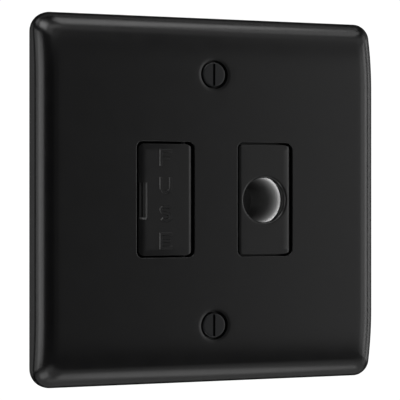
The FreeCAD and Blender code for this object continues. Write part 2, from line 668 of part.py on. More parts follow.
# ---------------------------------------------------------------- fuse clips
lt, fy = q("link_t"), q("floor_y")
for s, tag in ((1, "upper"), (-1, "lower")):
    z0 = q("clip_z") if s > 0 else -q("clip_z") - q("clip_h")
    ring = cyl("clip_outer_" + tag, q("clip_r") + q("strip_t"), q("link_x"), q("link_y"), z0, q("clip_h"), "z", angle=150)
    ring.Placement.Rotation = FreeCAD.Rotation(V(0, 0, 1), -10)
    hole = cyl("clip_inner_" + tag, q("clip_r"), q("link_x"), q("link_y"), z0 - 1.0, q("clip_h") + 2.0, "z")
    arc_part = cut("clip_arc_" + tag, ring, hole)
    tail = box("clip_tail_" + tag, q("live_tx") - 2.8, q("link_x") + 0.6, fy - lt, fy, z0, z0 + q("clip_h"))
    if s > 0:
        riser = box("clip_riser_" + tag, q("live_tx") - 2.8, q("live_tx") + 2.5, fy - lt, fy, z0, tz + 0.8)
    else:
        riser = box("clip_riser_" + tag, q("live_tx") - 2.8, q("live_tx") + 2.5, fy - lt, fy, -tz - 0.8, z0 + q("clip_h"))
    node("fuse_clip_" + tag, fuse("fuse_clip_" + tag, [arc_part, tail, riser]))

# ---------------------------------------------------------------- neutral link, earth strap
node("neutral_link", box("neutral_link", -4.3, -1.3, fy - lt, fy, -tz - 1.2, tz + 1.2))
e1 = box("earth_riser", 22.6, 25.0, fy - lt, fy, -tz - 1.2, tz + 2.9)
e2 = box("earth_flag", 22.6, 30.2, fy - lt, fy, tz - 2.9, tz + 2.9)
e3 = box("earth_leg", 29.6, 30.2, -fb, fy, tz - 0.7, tz + 2.9)
e4 = box("earth_foot", 29.6, 36.2, -fb, -fb + lt, tz - 0.7, q("stud_z") + 3.0)
e5 = fuse("earth_blank", [e1, e2, e3, e4])
e6 = cyl("earth_hole", q("stud_r") + 0.1, q("stud_x"), -fb - 1.0, q("stud_z"), lt + 2.0, "y")
node("earth_strap", cut("earth_strap", e5, e6))

# ---------------------------------------------------------------- terminal blocks
TERMINALS = [
    ("live_out_terminal", q("live_tx"), 1), ("live_in_terminal", q("live_tx"), -1),
    ("neutral_out_terminal", q("neutral_tx"), 1), ("neutral_in_terminal", q("neutral_tx"), -1),
    ("earth_out_terminal", q("earth_tx"), 1), ("earth_in_terminal", q("earth_tx"), -1),
]
tw = q("term_w") / 2
screws = []


def slotted_screw(tag, r, head_r, x, y_tip, y_seat, z, head_t, slot_w, slot_d):
    shank = cyl("shank_" + tag, r, x, y_tip, z, y_seat - y_tip + 0.1, "y")
    head = cyl("head_" + tag, head_r, x, y_seat, z, head_t, "y")
    whole = fuse("whole_" + tag, [shank, head])
    slot = box("slot_" + tag, x - head_r - 1.0, x + head_r + 1.0, y_seat + head_t - slot_d, y_seat + head_t + 1.0,
               z - slot_w / 2, z + slot_w / 2)
    return cut("screw_" + tag, whole, slot)


for name, x, s in TERMINALS:
    z = s * tz
    block = box("block_" + name, x - tw, x + tw, fy, fy + q("term_len"), z - tw, z + tw)
    soft = doc.addObject("Part::Chamfer", "soft_" + name)
    soft.Base = block
    doc.recompute()
    soft.Edges = [(i, 0.4, 0.4) for i, e in enumerate(block.Shape.Edges, start=1)
                  if e.BoundBox.YLength > 1.0]
    wire = cyl("wire_" + name, q("wire_r"), x, q("wire_y"), z - tw - 1.0, q("term_w") + 2.0, "z")
    tap = cyl("tap_" + name, q("tscrew_r") + q("run_gap"), x, q("wire_y"), z, q("term_len"), "y")
    node(name, cut(name, soft, fuse("drill_" + name, [wire, tap])))
    screws.append(slotted_screw("t_" + name, q("tscrew_r"), q("tscrew_head_r"), x, q("wire_y") + q("wire_r") + 0.2,
                                fy + q("term_len") + 2.2, z, Q.of(2.0), Q.of(0.8), Q.of(1.0)))
group = doc.addObject("Part::Compound", "terminal_screws")
group.Links = screws
node("terminal_screws", group)

# ---------------------------------------------------------------- cord clamp
cz = q("clamp_z")
bar_back = q("house_back")
bar = body_named("cord_clamp_bar")
sk = sketch(bar, "BarOutline", "XZ_Plane", -bar_back)
rect(sk, bx - q("clamp_len") / 2, cz - q("clamp_w") / 2, bx + q("clamp_len") / 2, cz + q("clamp_w") / 2)
b0 = pad(bar, "BarPad", sk, q("clamp_t"))
fillet(bar, "BarEnds", b0, straight_y, 2.0)
sk = sketch(bar, "BarHoles", "XZ_Plane", -bar_back)
for s in (1, -1):
    circle(sk, bx + s * q("clamp_dx"), cz, q("cscrew_r") + 0.1)
pocket(bar, "BarHolePocket", sk, q("clamp_t"), reverse=True)
node("cord_clamp_bar", bar)
pair = []
for s, tag in ((1, "right"), (-1, "left")):
    pair.append(slotted_screw("c_" + tag, q("cscrew_r"), q("cscrew_head_r"), bx + s * q("clamp_dx"), Q.of(6.5),
                              bar_back + 0.05, cz, Q.of(1.7), Q.of(0.8), Q.of(0.9)))
group = doc.addObject("Part::Compound", "cord_clamp_screws")
group.Links = pair
node("cord_clamp_screws", group)

# ---------------------------------------------------------------- box fixing screws
for s, tag in ((1, "upper"), (-1, "lower")):
    b = body_named("fixing_screw_" + tag)
    z = s * q("fix_pitch") / 2
    sk = sketch(b, "ScrewSection" + tag, "YZ_Plane", 0.0)
    seat = -SIZE["cup_floor"]
    r, hr, ht, ln = SIZE["fix_r"], SIZE["fix_head_r"], SIZE["fix_head_t"], SIZE["fix_len"]
    # plain neck under the head where it passes the plate, then the threaded length
    nr, nl = SIZE["fix_neck_r"], SIZE["fix_neck_len"]
    sec = [(seat - ht, 0.0), (seat - ht, hr - 0.35), (seat - ht + 0.1, hr - 0.13), (seat - ht + 0.35, hr),
           (seat, hr), (seat, nr), (seat + nl, nr), (seat + nl, r), (seat + ln - 0.6, r), (seat + ln, r - 0.7),
           (seat + ln, 0.0)]
    polygon(sk, [(Q.of(y), z + d) for y, d in sec])
    rv = b.newObject("PartDesign::Revolution", "ScrewTurned" + tag)
    rv.Profile = sk
    n = len(sec) - 1
    sk.addGeometry(Part.LineSegment(V(seat - ht, SIZE["fix_pitch"] / 2 * s, 0), V(seat + ln, SIZE["fix_pitch"] / 2 * s, 0)), True)
    rv.ReferenceAxis = (sk, ["Axis0"])
    rv.Angle = 360.0
    sk2 = sketch(b, "DriverSlot" + tag, "XZ_Plane", q("cup_floor") + q("fix_head_t"))
    rect(sk2, -0.3, z - q("fix_head_r") - 0.5, 0.3, z + q("fix_head_r") + 0.5)
    pocket(b, "DriverSlotCut" + tag, sk2, 0.9)
    node("fixing_screw_" + tag, b)

# ---------------------------------------------------------------- nuts on the weld studs
nuts = []
for sx in (1, -1):
    for sz in (1, -1):
        tag = "%s%s" % ("r" if sx > 0 else "l", "t" if sz > 0 else "b")
        hexa = doc.addObject("Part::Prism", "nut_hex_" + tag)
        hexa.Polygon = 6
        hexa.Circumradius = 2.9
        hexa.Height = 2.0
        hexa.Placement = FreeCAD.Placement(V(0, 0, 0), FreeCAD.Rotation(V(1, 0, 0), -90).multiply(FreeCAD.Rotation(V(0, 0, 1), 30)))
        y0 = -fb + lt if (sx > 0 and sz > 0) else -fb
        place(hexa, sx * q("stud_x"), y0, sz * q("stud_z"))
        hole = cyl("nut_hole_" + tag, q("stud_r") + q("run_gap"), sx * q("stud_x"), y0 - 1.0, sz * q("stud_z"), Q.of(4.0), "y")
        nuts.append(cut("nut_" + tag, hexa, hole))
group = doc.addObject("Part::Compound", "stud_nuts")
group.Links = nuts
node("stud_nuts", group)

# ---------------------------------------------------------------- assembly screws
asm = []
for i, (x, z) in enumerate(ASM):
    shank = cyl("asm_shank_%d" % i, Q.of(1.1), Q.of(x), -q("frame_front") + 1.1, Q.of(z), Q.of(8.4), "y")
    head = cyl("asm_head_%d" % i, Q.of(2.25), Q.of(x), -q("frame_front") + 0.05, Q.of(z), Q.of(1.15), "y")
    whole = fuse("asm_whole_%d" % i, [shank, head])
    c1_ = box("asm_cross_a%d" % i, Q.of(x) - 1.1, Q.of(x) + 1.1, -q("frame_front") - 1.0, -q("frame_front") + 0.75, Q.of(z) - 0.25, Q.of(z) + 0.25)
    c2_ = box("asm_cross_b%d" % i, Q.of(x) - 0.25, Q.of(x) + 0.25, -q("frame_front") - 1.0, -q("frame_front") + 0.75, Q.of(z) - 1.1, Q.of(z) + 1.1)
    asm.append(cut("asm_%d" % i, whole, fuse("asm_cross_%d" % i, [c1_, c2_])))
group = doc.addObject("Part::Compound", "assembly_screws")
group.Links = asm
node("assembly_screws", group)

# ---------------------------------------------------------------- check and write
doc.recompute()
bad = []
for o in doc.Objects:
    if "Invalid" in o.State or "Error" in o.State:
        bad.append("%s %s" % (o.Name, o.State))
for label, o in NODES.items():
    sh = o.Shape
    if sh.isNull() or not sh.isValid() or not sh.Solids:
        bad.append("%s has no valid solid" % label)
if bad:
    raise RuntimeError("; ".join(bad))
for label, o in NODES.items():
    sh = o.Shape
    bb = sh.BoundBox
    print("%-22s solids %d  vol %9.2f  x %.2f..%.2f  y %.2f..%.2f  z %.2f..%.2f" % (
        label, len(sh.Solids), sh.Volume, bb.XMin, bb.XMax, bb.YMin, bb.YMax, bb.ZMin, bb.ZMax))
    sh.exportStep("parts/%s.step" % label)
print(len(NODES), "nodes written")
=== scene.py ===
import json
import math

import bmesh
import bpy
import numpy as np
from mathutils import Euler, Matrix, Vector
from mathutils.geometry import delaunay_2d_cdt


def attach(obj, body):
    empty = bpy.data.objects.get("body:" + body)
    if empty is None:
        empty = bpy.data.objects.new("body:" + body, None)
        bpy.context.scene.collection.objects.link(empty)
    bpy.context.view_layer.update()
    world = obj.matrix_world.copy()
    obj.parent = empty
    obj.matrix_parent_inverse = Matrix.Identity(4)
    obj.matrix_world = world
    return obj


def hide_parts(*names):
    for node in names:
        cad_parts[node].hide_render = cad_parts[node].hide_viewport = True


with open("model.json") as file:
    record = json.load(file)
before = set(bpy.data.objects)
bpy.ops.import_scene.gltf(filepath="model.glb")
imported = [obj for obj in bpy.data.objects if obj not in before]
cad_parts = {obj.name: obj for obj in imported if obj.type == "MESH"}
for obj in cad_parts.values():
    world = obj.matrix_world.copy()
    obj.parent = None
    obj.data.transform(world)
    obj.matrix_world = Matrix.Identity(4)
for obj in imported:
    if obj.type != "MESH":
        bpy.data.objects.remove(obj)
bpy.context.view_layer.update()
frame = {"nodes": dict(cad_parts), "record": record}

MM = 0.001
scene = bpy.context.scene

# ------------------------------------------------------------------ materials
def new_mat(name):
    m = bpy.data.materials.new(name)
    m.use_nodes = True
    nt = m.node_tree
    nt.nodes.clear()
    out = nt.nodes.new("ShaderNodeOutputMaterial")
    bsdf = nt.nodes.new("ShaderNodeBsdfPrincipled")
    nt.links.new(bsdf.outputs["BSDF"], out.inputs["Surface"])
    co = nt.nodes.new("ShaderNodeTexCoord")
    return m, nt, bsdf, co


def noise(nt, co, scale, detail=3.0, rough=0.55, stretch=None, seed=0.0):
    mp = nt.nodes.new("ShaderNodeMapping")
    nt.links.new(co.outputs["Object"], mp.inputs["Vector"])
    mp.inputs["Location"].default_value = (seed, seed * 0.37, seed * 0.71)
    if stretch:
        mp.inputs["Scale"].default_value = stretch
    n = nt.nodes.new("ShaderNodeTexNoise")
    n.inputs["Scale"].default_value = scale
    n.inputs["Detail"].default_value = detail
    n.inputs["Roughness"].default_value = rough
    nt.links.new(mp.outputs["Vector"], n.inputs["Vector"])
    return n.outputs["Fac"]


def ranged(nt, value, a, b, lo=0.3, hi=0.7):
    r = nt.nodes.new("ShaderNodeMapRange")
    r.inputs["From Min"].default_value = lo
    r.inputs["From Max"].default_value = hi
    r.inputs["To Min"].default_value = a
    r.inputs["To Max"].default_value = b
    nt.links.new(value, r.inputs["Value"])
    return r.outputs["Result"]


def mixed(nt, fac, c1, c2):
    mx = nt.nodes.new("ShaderNodeMix")
    mx.data_type = "RGBA"
    mx.inputs["A"].default_value = (*c1, 1)
    mx.inputs["B"].default_value = (*c2, 1)
    nt.links.new(fac, mx.inputs["Factor"])
    return mx.outputs["Result"]


def bump(nt, bsdf, height, dist, strength=1.0, before=None):
    b = nt.nodes.new("ShaderNodeBump")
    b.inputs["Distance"].default_value = dist
    b.inputs["Strength"].default_value = strength
    nt.links.new(height, b.inputs["Height"])
    if before is not None:
        nt.links.new(before, b.inputs["Normal"])
    nt.links.new(b.outputs["Normal"], bsdf.inputs["Normal"])
    return b.outputs["Normal"]


def surface(name, c1, c2, rough, metallic=0.0, spec=0.5, tone_scale=60.0, grain=2500.0, grain_h=4e-6,
            wave=None, wave_h=0.0, stretch=None, coat=0.0, coat_rough=0.2, seed=0.0, ior=1.5):
    m, nt, bsdf, co = new_mat(name)
    bsdf.inputs["Metallic"].default_value = metallic
    bsdf.inputs["Specular IOR Level"].default_value = spec
    bsdf.inputs["IOR"].default_value = ior
    if coat:
        bsdf.inputs["Coat Weight"].default_value = coat
        bsdf.inputs["Coat Roughness"].default_value = coat_rough
    tone = noise(nt, co, tone_scale, 4.0, 0.6, stretch, seed + 1.3)
    nt.links.new(mixed(nt, tone, c1, c2), bsdf.inputs["Base Color"])
    fine = noise(nt, co, tone_scale * 6, 3.0, 0.6, stretch, seed + 4.1)
    nt.links.new(ranged(nt, fine, rough[0], rough[1]), bsdf.inputs["Roughness"])
    g = noise(nt, co, grain, 2.0, 0.6, stretch, seed + 2.2)
    nrm = bump(nt, bsdf, g, grain_h)
    if wave:
        w = noise(nt, co, wave, 2.0, 0.5, None, seed + 7.7)
        bump(nt, bsdf, w, wave_h, 1.0, nrm)
    return m


# painted light of the bore's lining: its brightness at depths below its lip, in millimetres, a painted highlight at the
# lip and painted shade darker deeper in
BORE_PAINTED_SHADE = [(0.0, 0.60), (0.25, 0.37), (0.6, 0.27), (1.3, 0.25), (2.2, 0.22), (3.2, 0.16), (5.8, 0.08), (8.3, 0.062), (12.0, 0.045)]


def painted_shade_lining(name):
    """Satin moulding with painted light: pale at the lip at Y = -3.3 mm, brightest there as a painted highlight, and
    painted darker towards the inside as shade.
    """
    m, nt, bsdf, co = new_mat(name)
    sep = nt.nodes.new("ShaderNodeSeparateXYZ")
    nt.links.new(co.outputs["Object"], sep.inputs["Vector"])
    span = BORE_PAINTED_SHADE[-1][0]
    depth = ranged(nt, sep.outputs["Y"], 0.0, 1.0, -0.0033, -0.0033 + span * 0.001)
    ramp = nt.nodes.new("ShaderNodeValToRGB")
    ramp.color_ramp.interpolation = "LINEAR"
    els = ramp.color_ramp.elements
    els[0].position, els[0].color = 0.0, (BORE_PAINTED_SHADE[0][1],) * 3 + (1,)
    els[1].position, els[1].color = 1.0, (BORE_PAINTED_SHADE[-1][1],) * 3 + (1,)
    for d, v in BORE_PAINTED_SHADE[1:-1]:
        e = els.new(d / span)
        e.color = (v, v, v, 1)
    nt.links.new(depth, ramp.inputs["Fac"])
    tone = noise(nt, co, 160.0, 3.0, 0.6, None, 14.3)
    mul = nt.nodes.new("ShaderNodeMix")
    mul.data_type = "RGBA"
    mul.blend_type = "MULTIPLY"
    mul.inputs["Factor"].default_value = 1.0
    nt.links.new(ramp.outputs["Color"], mul.inputs["A"])
    nt.links.new(mixed(nt, tone, (0.92, 0.92, 0.92), (1.0, 1.0, 1.0)), mul.inputs["B"])
    nt.links.new(mul.outputs["Result"], bsdf.inputs["Base Color"])
    bsdf.inputs["Specular IOR Level"].default_value = 0.3
    fine = noise(nt, co, 900.0, 3.0, 0.6, None, 17.1)
    nt.links.new(ranged(nt, fine, 0.42, 0.5), bsdf.inputs["Roughness"])
    g = noise(nt, co, 3600.0, 2.0, 0.6, None, 15.2)
    bump(nt, bsdf, g, 2.0e-6)
    return m


MATS = {
    "plate_finish": surface("plate_finish", (0.0036, 0.0036, 0.0038), (0.0050, 0.0050, 0.0053), (0.23, 0.27),
                            tone_scale=35, grain=2600, grain_h=3.0e-6, wave=420, wave_h=2.0e-6, seed=1),
    "screw_finish": surface("screw_finish", (0.0042, 0.0046, 0.0056), (0.0064, 0.0069, 0.0082), (0.32, 0.40), spec=0.5,
                            tone_scale=220, grain=5000, grain_h=2.5e-6, seed=2),
    "insert_moulding": surface("insert_moulding", (0.0042, 0.0042, 0.0044), (0.0055, 0.0055, 0.0058), (0.30, 0.36),
                               tone_scale=60, grain=4200, grain_h=1.6e-6, seed=3),
    # the bore's lining gets painted shade, darker deeper in the bore, and a painted highlight at its lip
    "sleeve_moulding": painted_shade_lining("sleeve_moulding"),
    "moulding": surface("moulding", (0.008, 0.008, 0.0085), (0.012, 0.012, 0.0125), (0.46, 0.56), spec=0.2,
                        tone_scale=70, grain=2200, grain_h=7e-6, wave=160, wave_h=1.5e-5, seed=4),
    "clamp_moulding": surface("clamp_moulding", (0.016, 0.016, 0.017), (0.022, 0.022, 0.023), (0.5, 0.6),
                              tone_scale=120, grain=2600, grain_h=9e-6, stretch=(0.35, 1.0, 1.0), seed=5),
    "gasket_foam": surface("gasket_foam", (0.014, 0.014, 0.014), (0.03, 0.03, 0.03), (0.85, 0.95), spec=0.25,
                           tone_scale=300, grain=1400, grain_h=9e-5, seed=6),
    "pin_steel": surface("pin_steel", (0.025, 0.025, 0.026), (0.035, 0.035, 0.035), (0.42, 0.55), metallic=1.0,
                         tone_scale=500, grain=3000, grain_h=2e-6, stretch=(1, 1, 0.05), seed=7),
    "fuse_ceramic": surface("fuse_ceramic", (0.70, 0.66, 0.57), (0.80, 0.76, 0.68), (0.25, 0.38),
                            tone_scale=90, grain=1500, grain_h=6e-6, coat=0.3, coat_rough=0.15, seed=8),
    "plated_cap": surface("plated_cap", (0.60, 0.585, 0.55), (0.72, 0.70, 0.66), (0.16, 0.30), metallic=1.0,
                          tone_scale=260, grain=2500, grain_h=3e-6, seed=9),
    "contact_brass": surface("contact_brass", (0.66, 0.45, 0.19), (0.79, 0.59, 0.29), (0.2, 0.36), metallic=1.0,
                             tone_scale=220, grain=3200, grain_h=3e-6, stretch=(0.2, 1, 1), seed=10),
    "terminal_brass": surface("terminal_brass", (0.62, 0.42, 0.17), (0.78, 0.58, 0.28), (0.2, 0.34), metallic=1.0,
                              tone_scale=240, grain=3600, grain_h=4e-6, stretch=(1, 0.15, 1), seed=11),
    "plated_screw": surface("plated_screw", (0.52, 0.53, 0.53), (0.66, 0.66, 0.64), (0.24, 0.4), metallic=1.0,
                            tone_scale=300, grain=3200, grain_h=4e-6, seed=12),
}

record = frame["record"]
slot_of = {s["node"]: s["material_slot"] for s in record["subparts"]}
for name, obj in frame["nodes"].items():
    obj.data.materials.clear()
    obj.data.materials.append(MATS[slot_of[name]])

# ------------------------------------------------------------------ mesh tools
class Skin:
    """Collects islands of faces, in millimetres. Faces that meet smoothly share
    the corners of one island; a new island starts at each sharp edge."""

    def __init__(self):
        self.bm = bmesh.new()

    def island(self, faces, points, merge=1e-4):
        vs = [self.bm.verts.new(p) for p in points]
        made = []
        for f in faces:
            ids = []
            for i in f:
                if i not in ids:
                    ids.append(i)
            if len(ids) < 3:
                continue
            try:
                fc = self.bm.faces.new([vs[i] for i in ids])
                fc.smooth = True
                made.append(fc)
            except ValueError:
                pass
        bmesh.ops.remove_doubles(self.bm, verts=vs, dist=merge)

    def strips(self, loops, closed=True):
        """Faces between one loop and the next. Returns faces and points."""
        n = len(loops[0])
        pts = [p for lp in loops for p in lp]
        faces = []
        for k in range(len(loops) - 1):
            a, b = k * n, (k + 1) * n
            for i in range(n if closed else n - 1):
                j = (i + 1) % n
                faces.append((a + i, a + j, b + j, b + i))
        return faces, pts

    def loft(self, loops, closed=True):
        self.island(*self.strips(loops, closed))

    def obj(self, name):
        me = bpy.data.meshes.new(name)
        self.bm.verts.ensure_lookup_table()
        for v in self.bm.verts:
            v.co *= MM
        loose = [v for v in self.bm.verts if not v.link_faces]
        bmesh.ops.delete(self.bm, geom=loose, context="VERTS")
        self.bm.to_mesh(me)
        self.bm.free()
        o = bpy.data.objects.new(name, me)
        scene.collection.objects.link(o)
        return o


def rrect(cx, cz, hw, hh, r, nc=8, nx=1, nz=1):
    """Rounded rectangle, anticlockwise seen from the front, from the lower end
    of its right side. r is one radius, or the left and the right one."""
    rl, rr = r if isinstance(r, tuple) else (r, r)
    rl, rr = max(rl, 1e-4), max(rr, 1e-4)
    corners = ((1, -1, -90, rr), (1, 1, 0, rr), (-1, 1, 90, rl), (-1, -1, 180, rl))
    pts = []
    for c, (sx, sz, a0, rc) in enumerate(corners):
        ox, oz = cx + sx * (hw - rc), cz + sz * (hh - rc)
        for k in range(nc + 1):
            a = math.radians(a0 + 90 * k / nc)
            pts.append((ox + rc * math.cos(a), oz + rc * math.sin(a)))
        tx, tz, ta, tr = corners[(c + 1) % 4]
        ax = cx + tx * (hw - tr) + tr * math.cos(math.radians(ta))
        az = cz + tz * (hh - tr) + tr * math.sin(math.radians(ta))
        px, pz = pts[-1]
        n = nz if c in (0, 2) else nx
        for k in range(1, n):
            t = k / n
            pts.append((px + (ax - px) * t, pz + (az - pz) * t))
    return pts


def circ(cx, cz, r, n=96):
    return [(cx + r * math.cos(2 * math.pi * k / n), cz + r * math.sin(2 * math.pi * k / n)) for k in range(n)]


def at(loop, y):
    """Loop of (x, z) set at depth y, a number or a function of x and z."""
    if callable(y):
        return [(x, y(x, z), z) for x, z in loop]
    return [(x, y, z) for x, z in loop]


def inside(p, loop):
    x, z = p
    c = False
    j = len(loop) - 1
    for i in range(len(loop)):
        xi, zi = loop[i]
        xj, zj = loop[j]
        if (zi > z) != (zj > z) and x < (xj - xi) * (z - zi) / (zj - zi) + xi:
            c = not c
        j = i
    return c


def fill(outer, holes, extra):
    """Triangles between one outer loop and its holes, with extra inner points."""
    pts, edges = [], []
    for lp in [outer] + holes:
        base = len(pts)
        pts += [Vector(p) for p in lp]
        edges += [(base + i, base + (i + 1) % len(lp)) for i in range(len(lp))]
    pts += [Vector(p) for p in extra]
    vs, _, fs, _, _, _ = delaunay_2d_cdt(pts, edges, [], 0, 1e-6)
    out = []
    for f in fs:
        c = sum((vs[i] for i in f), Vector((0, 0))) / len(f)
        if not inside(c, outer) or any(inside(c, h) for h in holes):
            continue
        a, b, d = vs[f[0]], vs[f[1]], vs[f[2]]
        if (b - a).cross(d - a) < 0:
            f = list(reversed(f))
        out.append(tuple(f))
    return out, [(v.x, v.y) for v in vs]


def join_islands(parts):
    faces, pts = [], []
    for f, p in parts:
        base = len(pts)
        pts += list(p)
        faces += [tuple(i + base for i in face) for face in f]
    return faces, pts


def sharpen(o, deg=32):
    """Marks the edges that turn by more than deg as sharp, the rest smooth."""
    bm = bmesh.new()
    bm.from_mesh(o.data)
    lim = math.radians(deg)
    for f in bm.faces:
        f.smooth = True
    for e in bm.edges:
        if len(e.link_faces) == 2:
            e.smooth = e.link_faces[0].normal.angle(e.link_faces[1].normal, 0) < lim
        else:
            e.smooth = False
    bm.to_mesh(o.data)
    bm.free()


def dress(o, slot_name, body, nodes=()):
    o.data.materials.clear()
    o.data.materials.append(MATS[slot_name])
    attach(o, body)
    if nodes:
        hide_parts(*nodes)
    return o


# ------------------------------------------------------------------ front plate
F = 7.5
HALF = 44.1
HALFZ = 44.3
ROLL_A, ROLL_B = 5.0, 4.1
FIX = 30.15
CUP, CUP_LIP = 3.5, 4.3


def crown(z):
    return max(0.0, abs(z) - 27.4) ** 2 / 108.0


def plate_ring(u, nc=14, n=44):
    return rrect(0, 0, HALF - u, HALFZ - u, (4.7 - 0.5 * u, 3.5 - 0.42 * u), nc, n, n)


WINDOWS = [(-12.525, 14.75), (13.405, 14.63)]
WH, WE = 13.8, 0.24
WRS = {-12.525: (1.5, 1.7), 13.405: (1.5, 2.0)}
WZ = 0.12


def window_loop(cx, w, g=0.0):
    """Edge of a window, drawn out by g; the right side keeps a crisper edge."""
    x0, x1 = cx - w / 2 - g, cx + w / 2 + 0.2 * min(g, WE) + max(g - WE, 0.0)
    rl, rr = WRS[cx]
    return rrect((x0 + x1) / 2, WZ, (x1 - x0) / 2, WH + g, (rl + g, rr + 0.6 * g), 10, 6, 12)

plate = Skin()
roll = []
for k in range(25):
    a = math.radians(90.0 * k / 24)
    u = ROLL_A * (1 - math.cos(a))
    dep = ROLL_B * (1 - math.sin(a))
    roll.append(at(plate_ring(u), lambda x, z, d=dep: -F + d + crown(z)))
skirt_top = roll[0]
skirt = []
for k in range(4):
    t = k / 4.0
    skirt.append([(x, y * t, z) for x, y, z in skirt_top])
tiny = [(x, y, z) for x, y, z in at(plate_ring(0.0), 0.0)]
inner_ring = plate_ring(ROLL_A)
outer_of_window = [window_loop(cx, w, WE + 0.05) for cx, w in WINDOWS]


def dip(r):
    t = (r - CUP) / (CUP_LIP - CUP)
    return 0.11 * (1 - min(max(t, 0.0), 1.0)) ** 1.6


lip_loops = {s: circ(0, s * FIX, CUP_LIP, 72) for s in (1, -1)}
extra = []
for iz in range(-38, 39):
    for ix in range(-19, 20):
        x, z = ix * 2.0, float(iz)
        if abs(z) < 26 and iz % 3:
            continue
        if abs(x) > 38.2 or abs(z) > 38.2:
            continue
        if any(abs(x - cx) < w / 2 + 0.8 and abs(z) < WH + 0.8 for cx, w in WINDOWS):
            continue
        if any(math.hypot(x, z - s * FIX) < CUP_LIP + 0.6 for s in (1, -1)):
            continue
        extra.append((x, z))
faces, flat = fill(inner_ring, outer_of_window + [lip_loops[1], lip_loops[-1]], extra)
parts = [plate.strips(skirt + roll), (faces, [(x, -F + crown(z), z) for x, z in flat])]
for cx, w in WINDOWS:
    loops = [at(window_loop(cx, w, WE + 0.05), -F)]
    for k in range(7):
        a = math.radians(90.0 * k / 6)
        g = WE * (1 - math.sin(a))
        loops.append(at(window_loop(cx, w, g), -F + WE * (1 - math.cos(a))))
    parts.append(plate.strips(loops))
for s in (1, -1):
    loops = []
    for k in range(11):
        r = CUP_LIP + (CUP - CUP_LIP) * k / 10
        loops.append(at(circ(0, s * FIX, r, 72), lambda x, z, r=r: -F + crown(z) + dip(r)))
    parts.append(plate.strips(loops))
plate.island(*join_islands(parts), merge=2e-4)
# walls of the windows and cups
for cx, w in WINDOWS:
    lp = window_loop(cx, w)
    plate.loft([at(lp, -F + WE), at(lp, -6.5)])
for s in (1, -1):
    plate.loft([at(circ(0, s * FIX, CUP, 72), lambda x, z: -F + crown(z) + dip(CUP)), at(circ(0, s * FIX, CUP - 0.04, 72), -5.5)])
    plate.loft([at(circ(0, s * FIX, CUP - 0.04, 72), -5.5), at(circ(0, s * FIX, 1.95, 72), -5.5)])
    plate.loft([at(circ(0, s * FIX, 1.95, 72), -5.5), at(circ(0, s * FIX, 1.95, 72), -4.85)])
    plate.loft([at(circ(0, s * FIX, 1.95, 72), -4.85), at(circ(0, s * FIX, 4.0, 72), -4.85)])
    plate.loft([at(circ(0, s * FIX, 4.0, 72), -4.85), at(circ(0, s * FIX, 4.0, 72), lambda x, z: -F + 1.0 + crown(z))])
# rim and the back of the sheet
rim_in = rrect(0, 0, HALF - 1.0, HALFZ - 1.0, 3.2, 14, 44, 44)
plate.loft([at(rim_in, 0.0), tiny])
back = []
for k in range(13):
    a = math.radians(90.0 * k / 12)
    u = 1.0 + 4.0 * (1 - math.cos(a))
    dep = 3.1 * (1 - math.sin(a))
    back.append(at(rrect(0, 0, HALF - u, HALFZ - u, 3.2 - 0.25 * (u - 1.0), 14, 44, 44),
                   lambda x, z, d=dep: -F + 1.0 + d + crown(z)))
back = [at(rim_in, 0.0)] + back
inner_back = rrect(0, 0, HALF - 5.0, HALFZ - 5.0, 2.2, 14, 44, 44)
holes_b = [window_loop(cx, w) for cx, w in WINDOWS]
cups_b = [circ(0, s * FIX, 4.0, 72) for s in (1, -1)]
faces, flat = fill(inner_back, holes_b + cups_b,
                   [p for p in extra if all(math.hypot(p[0] - a, p[1] - b) > 2.0 for a, b in
                                            ((33, 21), (-33, 21), (33, -21), (-33, -21)))
                    and abs(p[0]) < 37.8 and abs(p[1]) < 37.8])
bf, bp = plate.strips(back)
bf = [tuple(reversed(f)) for f in bf]
ff = [tuple(reversed(f)) for f in faces]
plate.island(*join_islands([(bf, bp), (ff, [(x, -F + 1.0 + crown(z), z) for x, z in flat])]), merge=2e-4)
# weld studs, with a thread's fine steps
for sx in (1, -1):
    for sz in (1, -1):
        loops = [at(circ(sx * 33.0, sz * 21.0, 1.7, 32), -6.52), at(circ(sx * 33.0, sz * 21.0, 1.25, 32), -6.3)]
        y = -6.0
        while y < -1.25:
            loops.append(at(circ(sx * 33.0, sz * 21.0, 1.25, 32), y))
            loops.append(at(circ(sx * 33.0, sz * 21.0, 1.12, 32), y + 0.22))
            y += 0.45
        loops.append(at(circ(sx * 33.0, sz * 21.0, 1.25, 32), -1.2))
        loops.append(at(circ(sx * 33.0, sz * 21.0, 1.0, 32), -0.9))
        f, p = plate.strips(loops)
        plate.island([tuple(reversed(q_)) for q_ in f], p)
        c = at(circ(sx * 33.0, sz * 21.0, 1.0, 32), -0.9)
        plate.island([tuple(reversed(range(32)))], c)
plate_obj = plate.obj("plate_skin")
dress(plate_obj, "plate_finish", "unit", ["front_plate"])

# ------------------------------------------------------------------ fuse carrier
PX0, PX1, PH = -19.45, -5.68, 13.35
PF, PB = -7.45, -5.5
ES = 0.12
STEPS = (0.0, 0.004, 0.016, 0.035, 0.06, 0.09, 0.125, 0.18, 0.26, 0.36, 0.48, 0.62, 0.78, 0.95, 1.17, 1.45, 1.8)


def quarter(d, r):
    """Drop of a quarter-round edge of radius r at distance d from its wall."""
    if d >= r:
        return 0.0
    return r - math.sqrt(max(r * r - (r - max(d, 0.0)) ** 2, 0.0))


def slow(d, w, top):
    """Drop at a distance d from an edge whose round is w wide and ends at the angle top."""
    if d >= w:
        return 0.0
    r = w / math.sin(math.radians(top))
    return r - math.sqrt(r * r - (w - max(d, 0.0)) ** 2)


def face_drop(x, g, x0, x1, wl, rr):
    """Drop of a moulded face: a slow round along its left edge, a full one along
    the right edge, and a small one along the short edges."""
    return max(slow(x - x0, wl, 37.0), quarter(x1 - x, rr), quarter(g, ES))


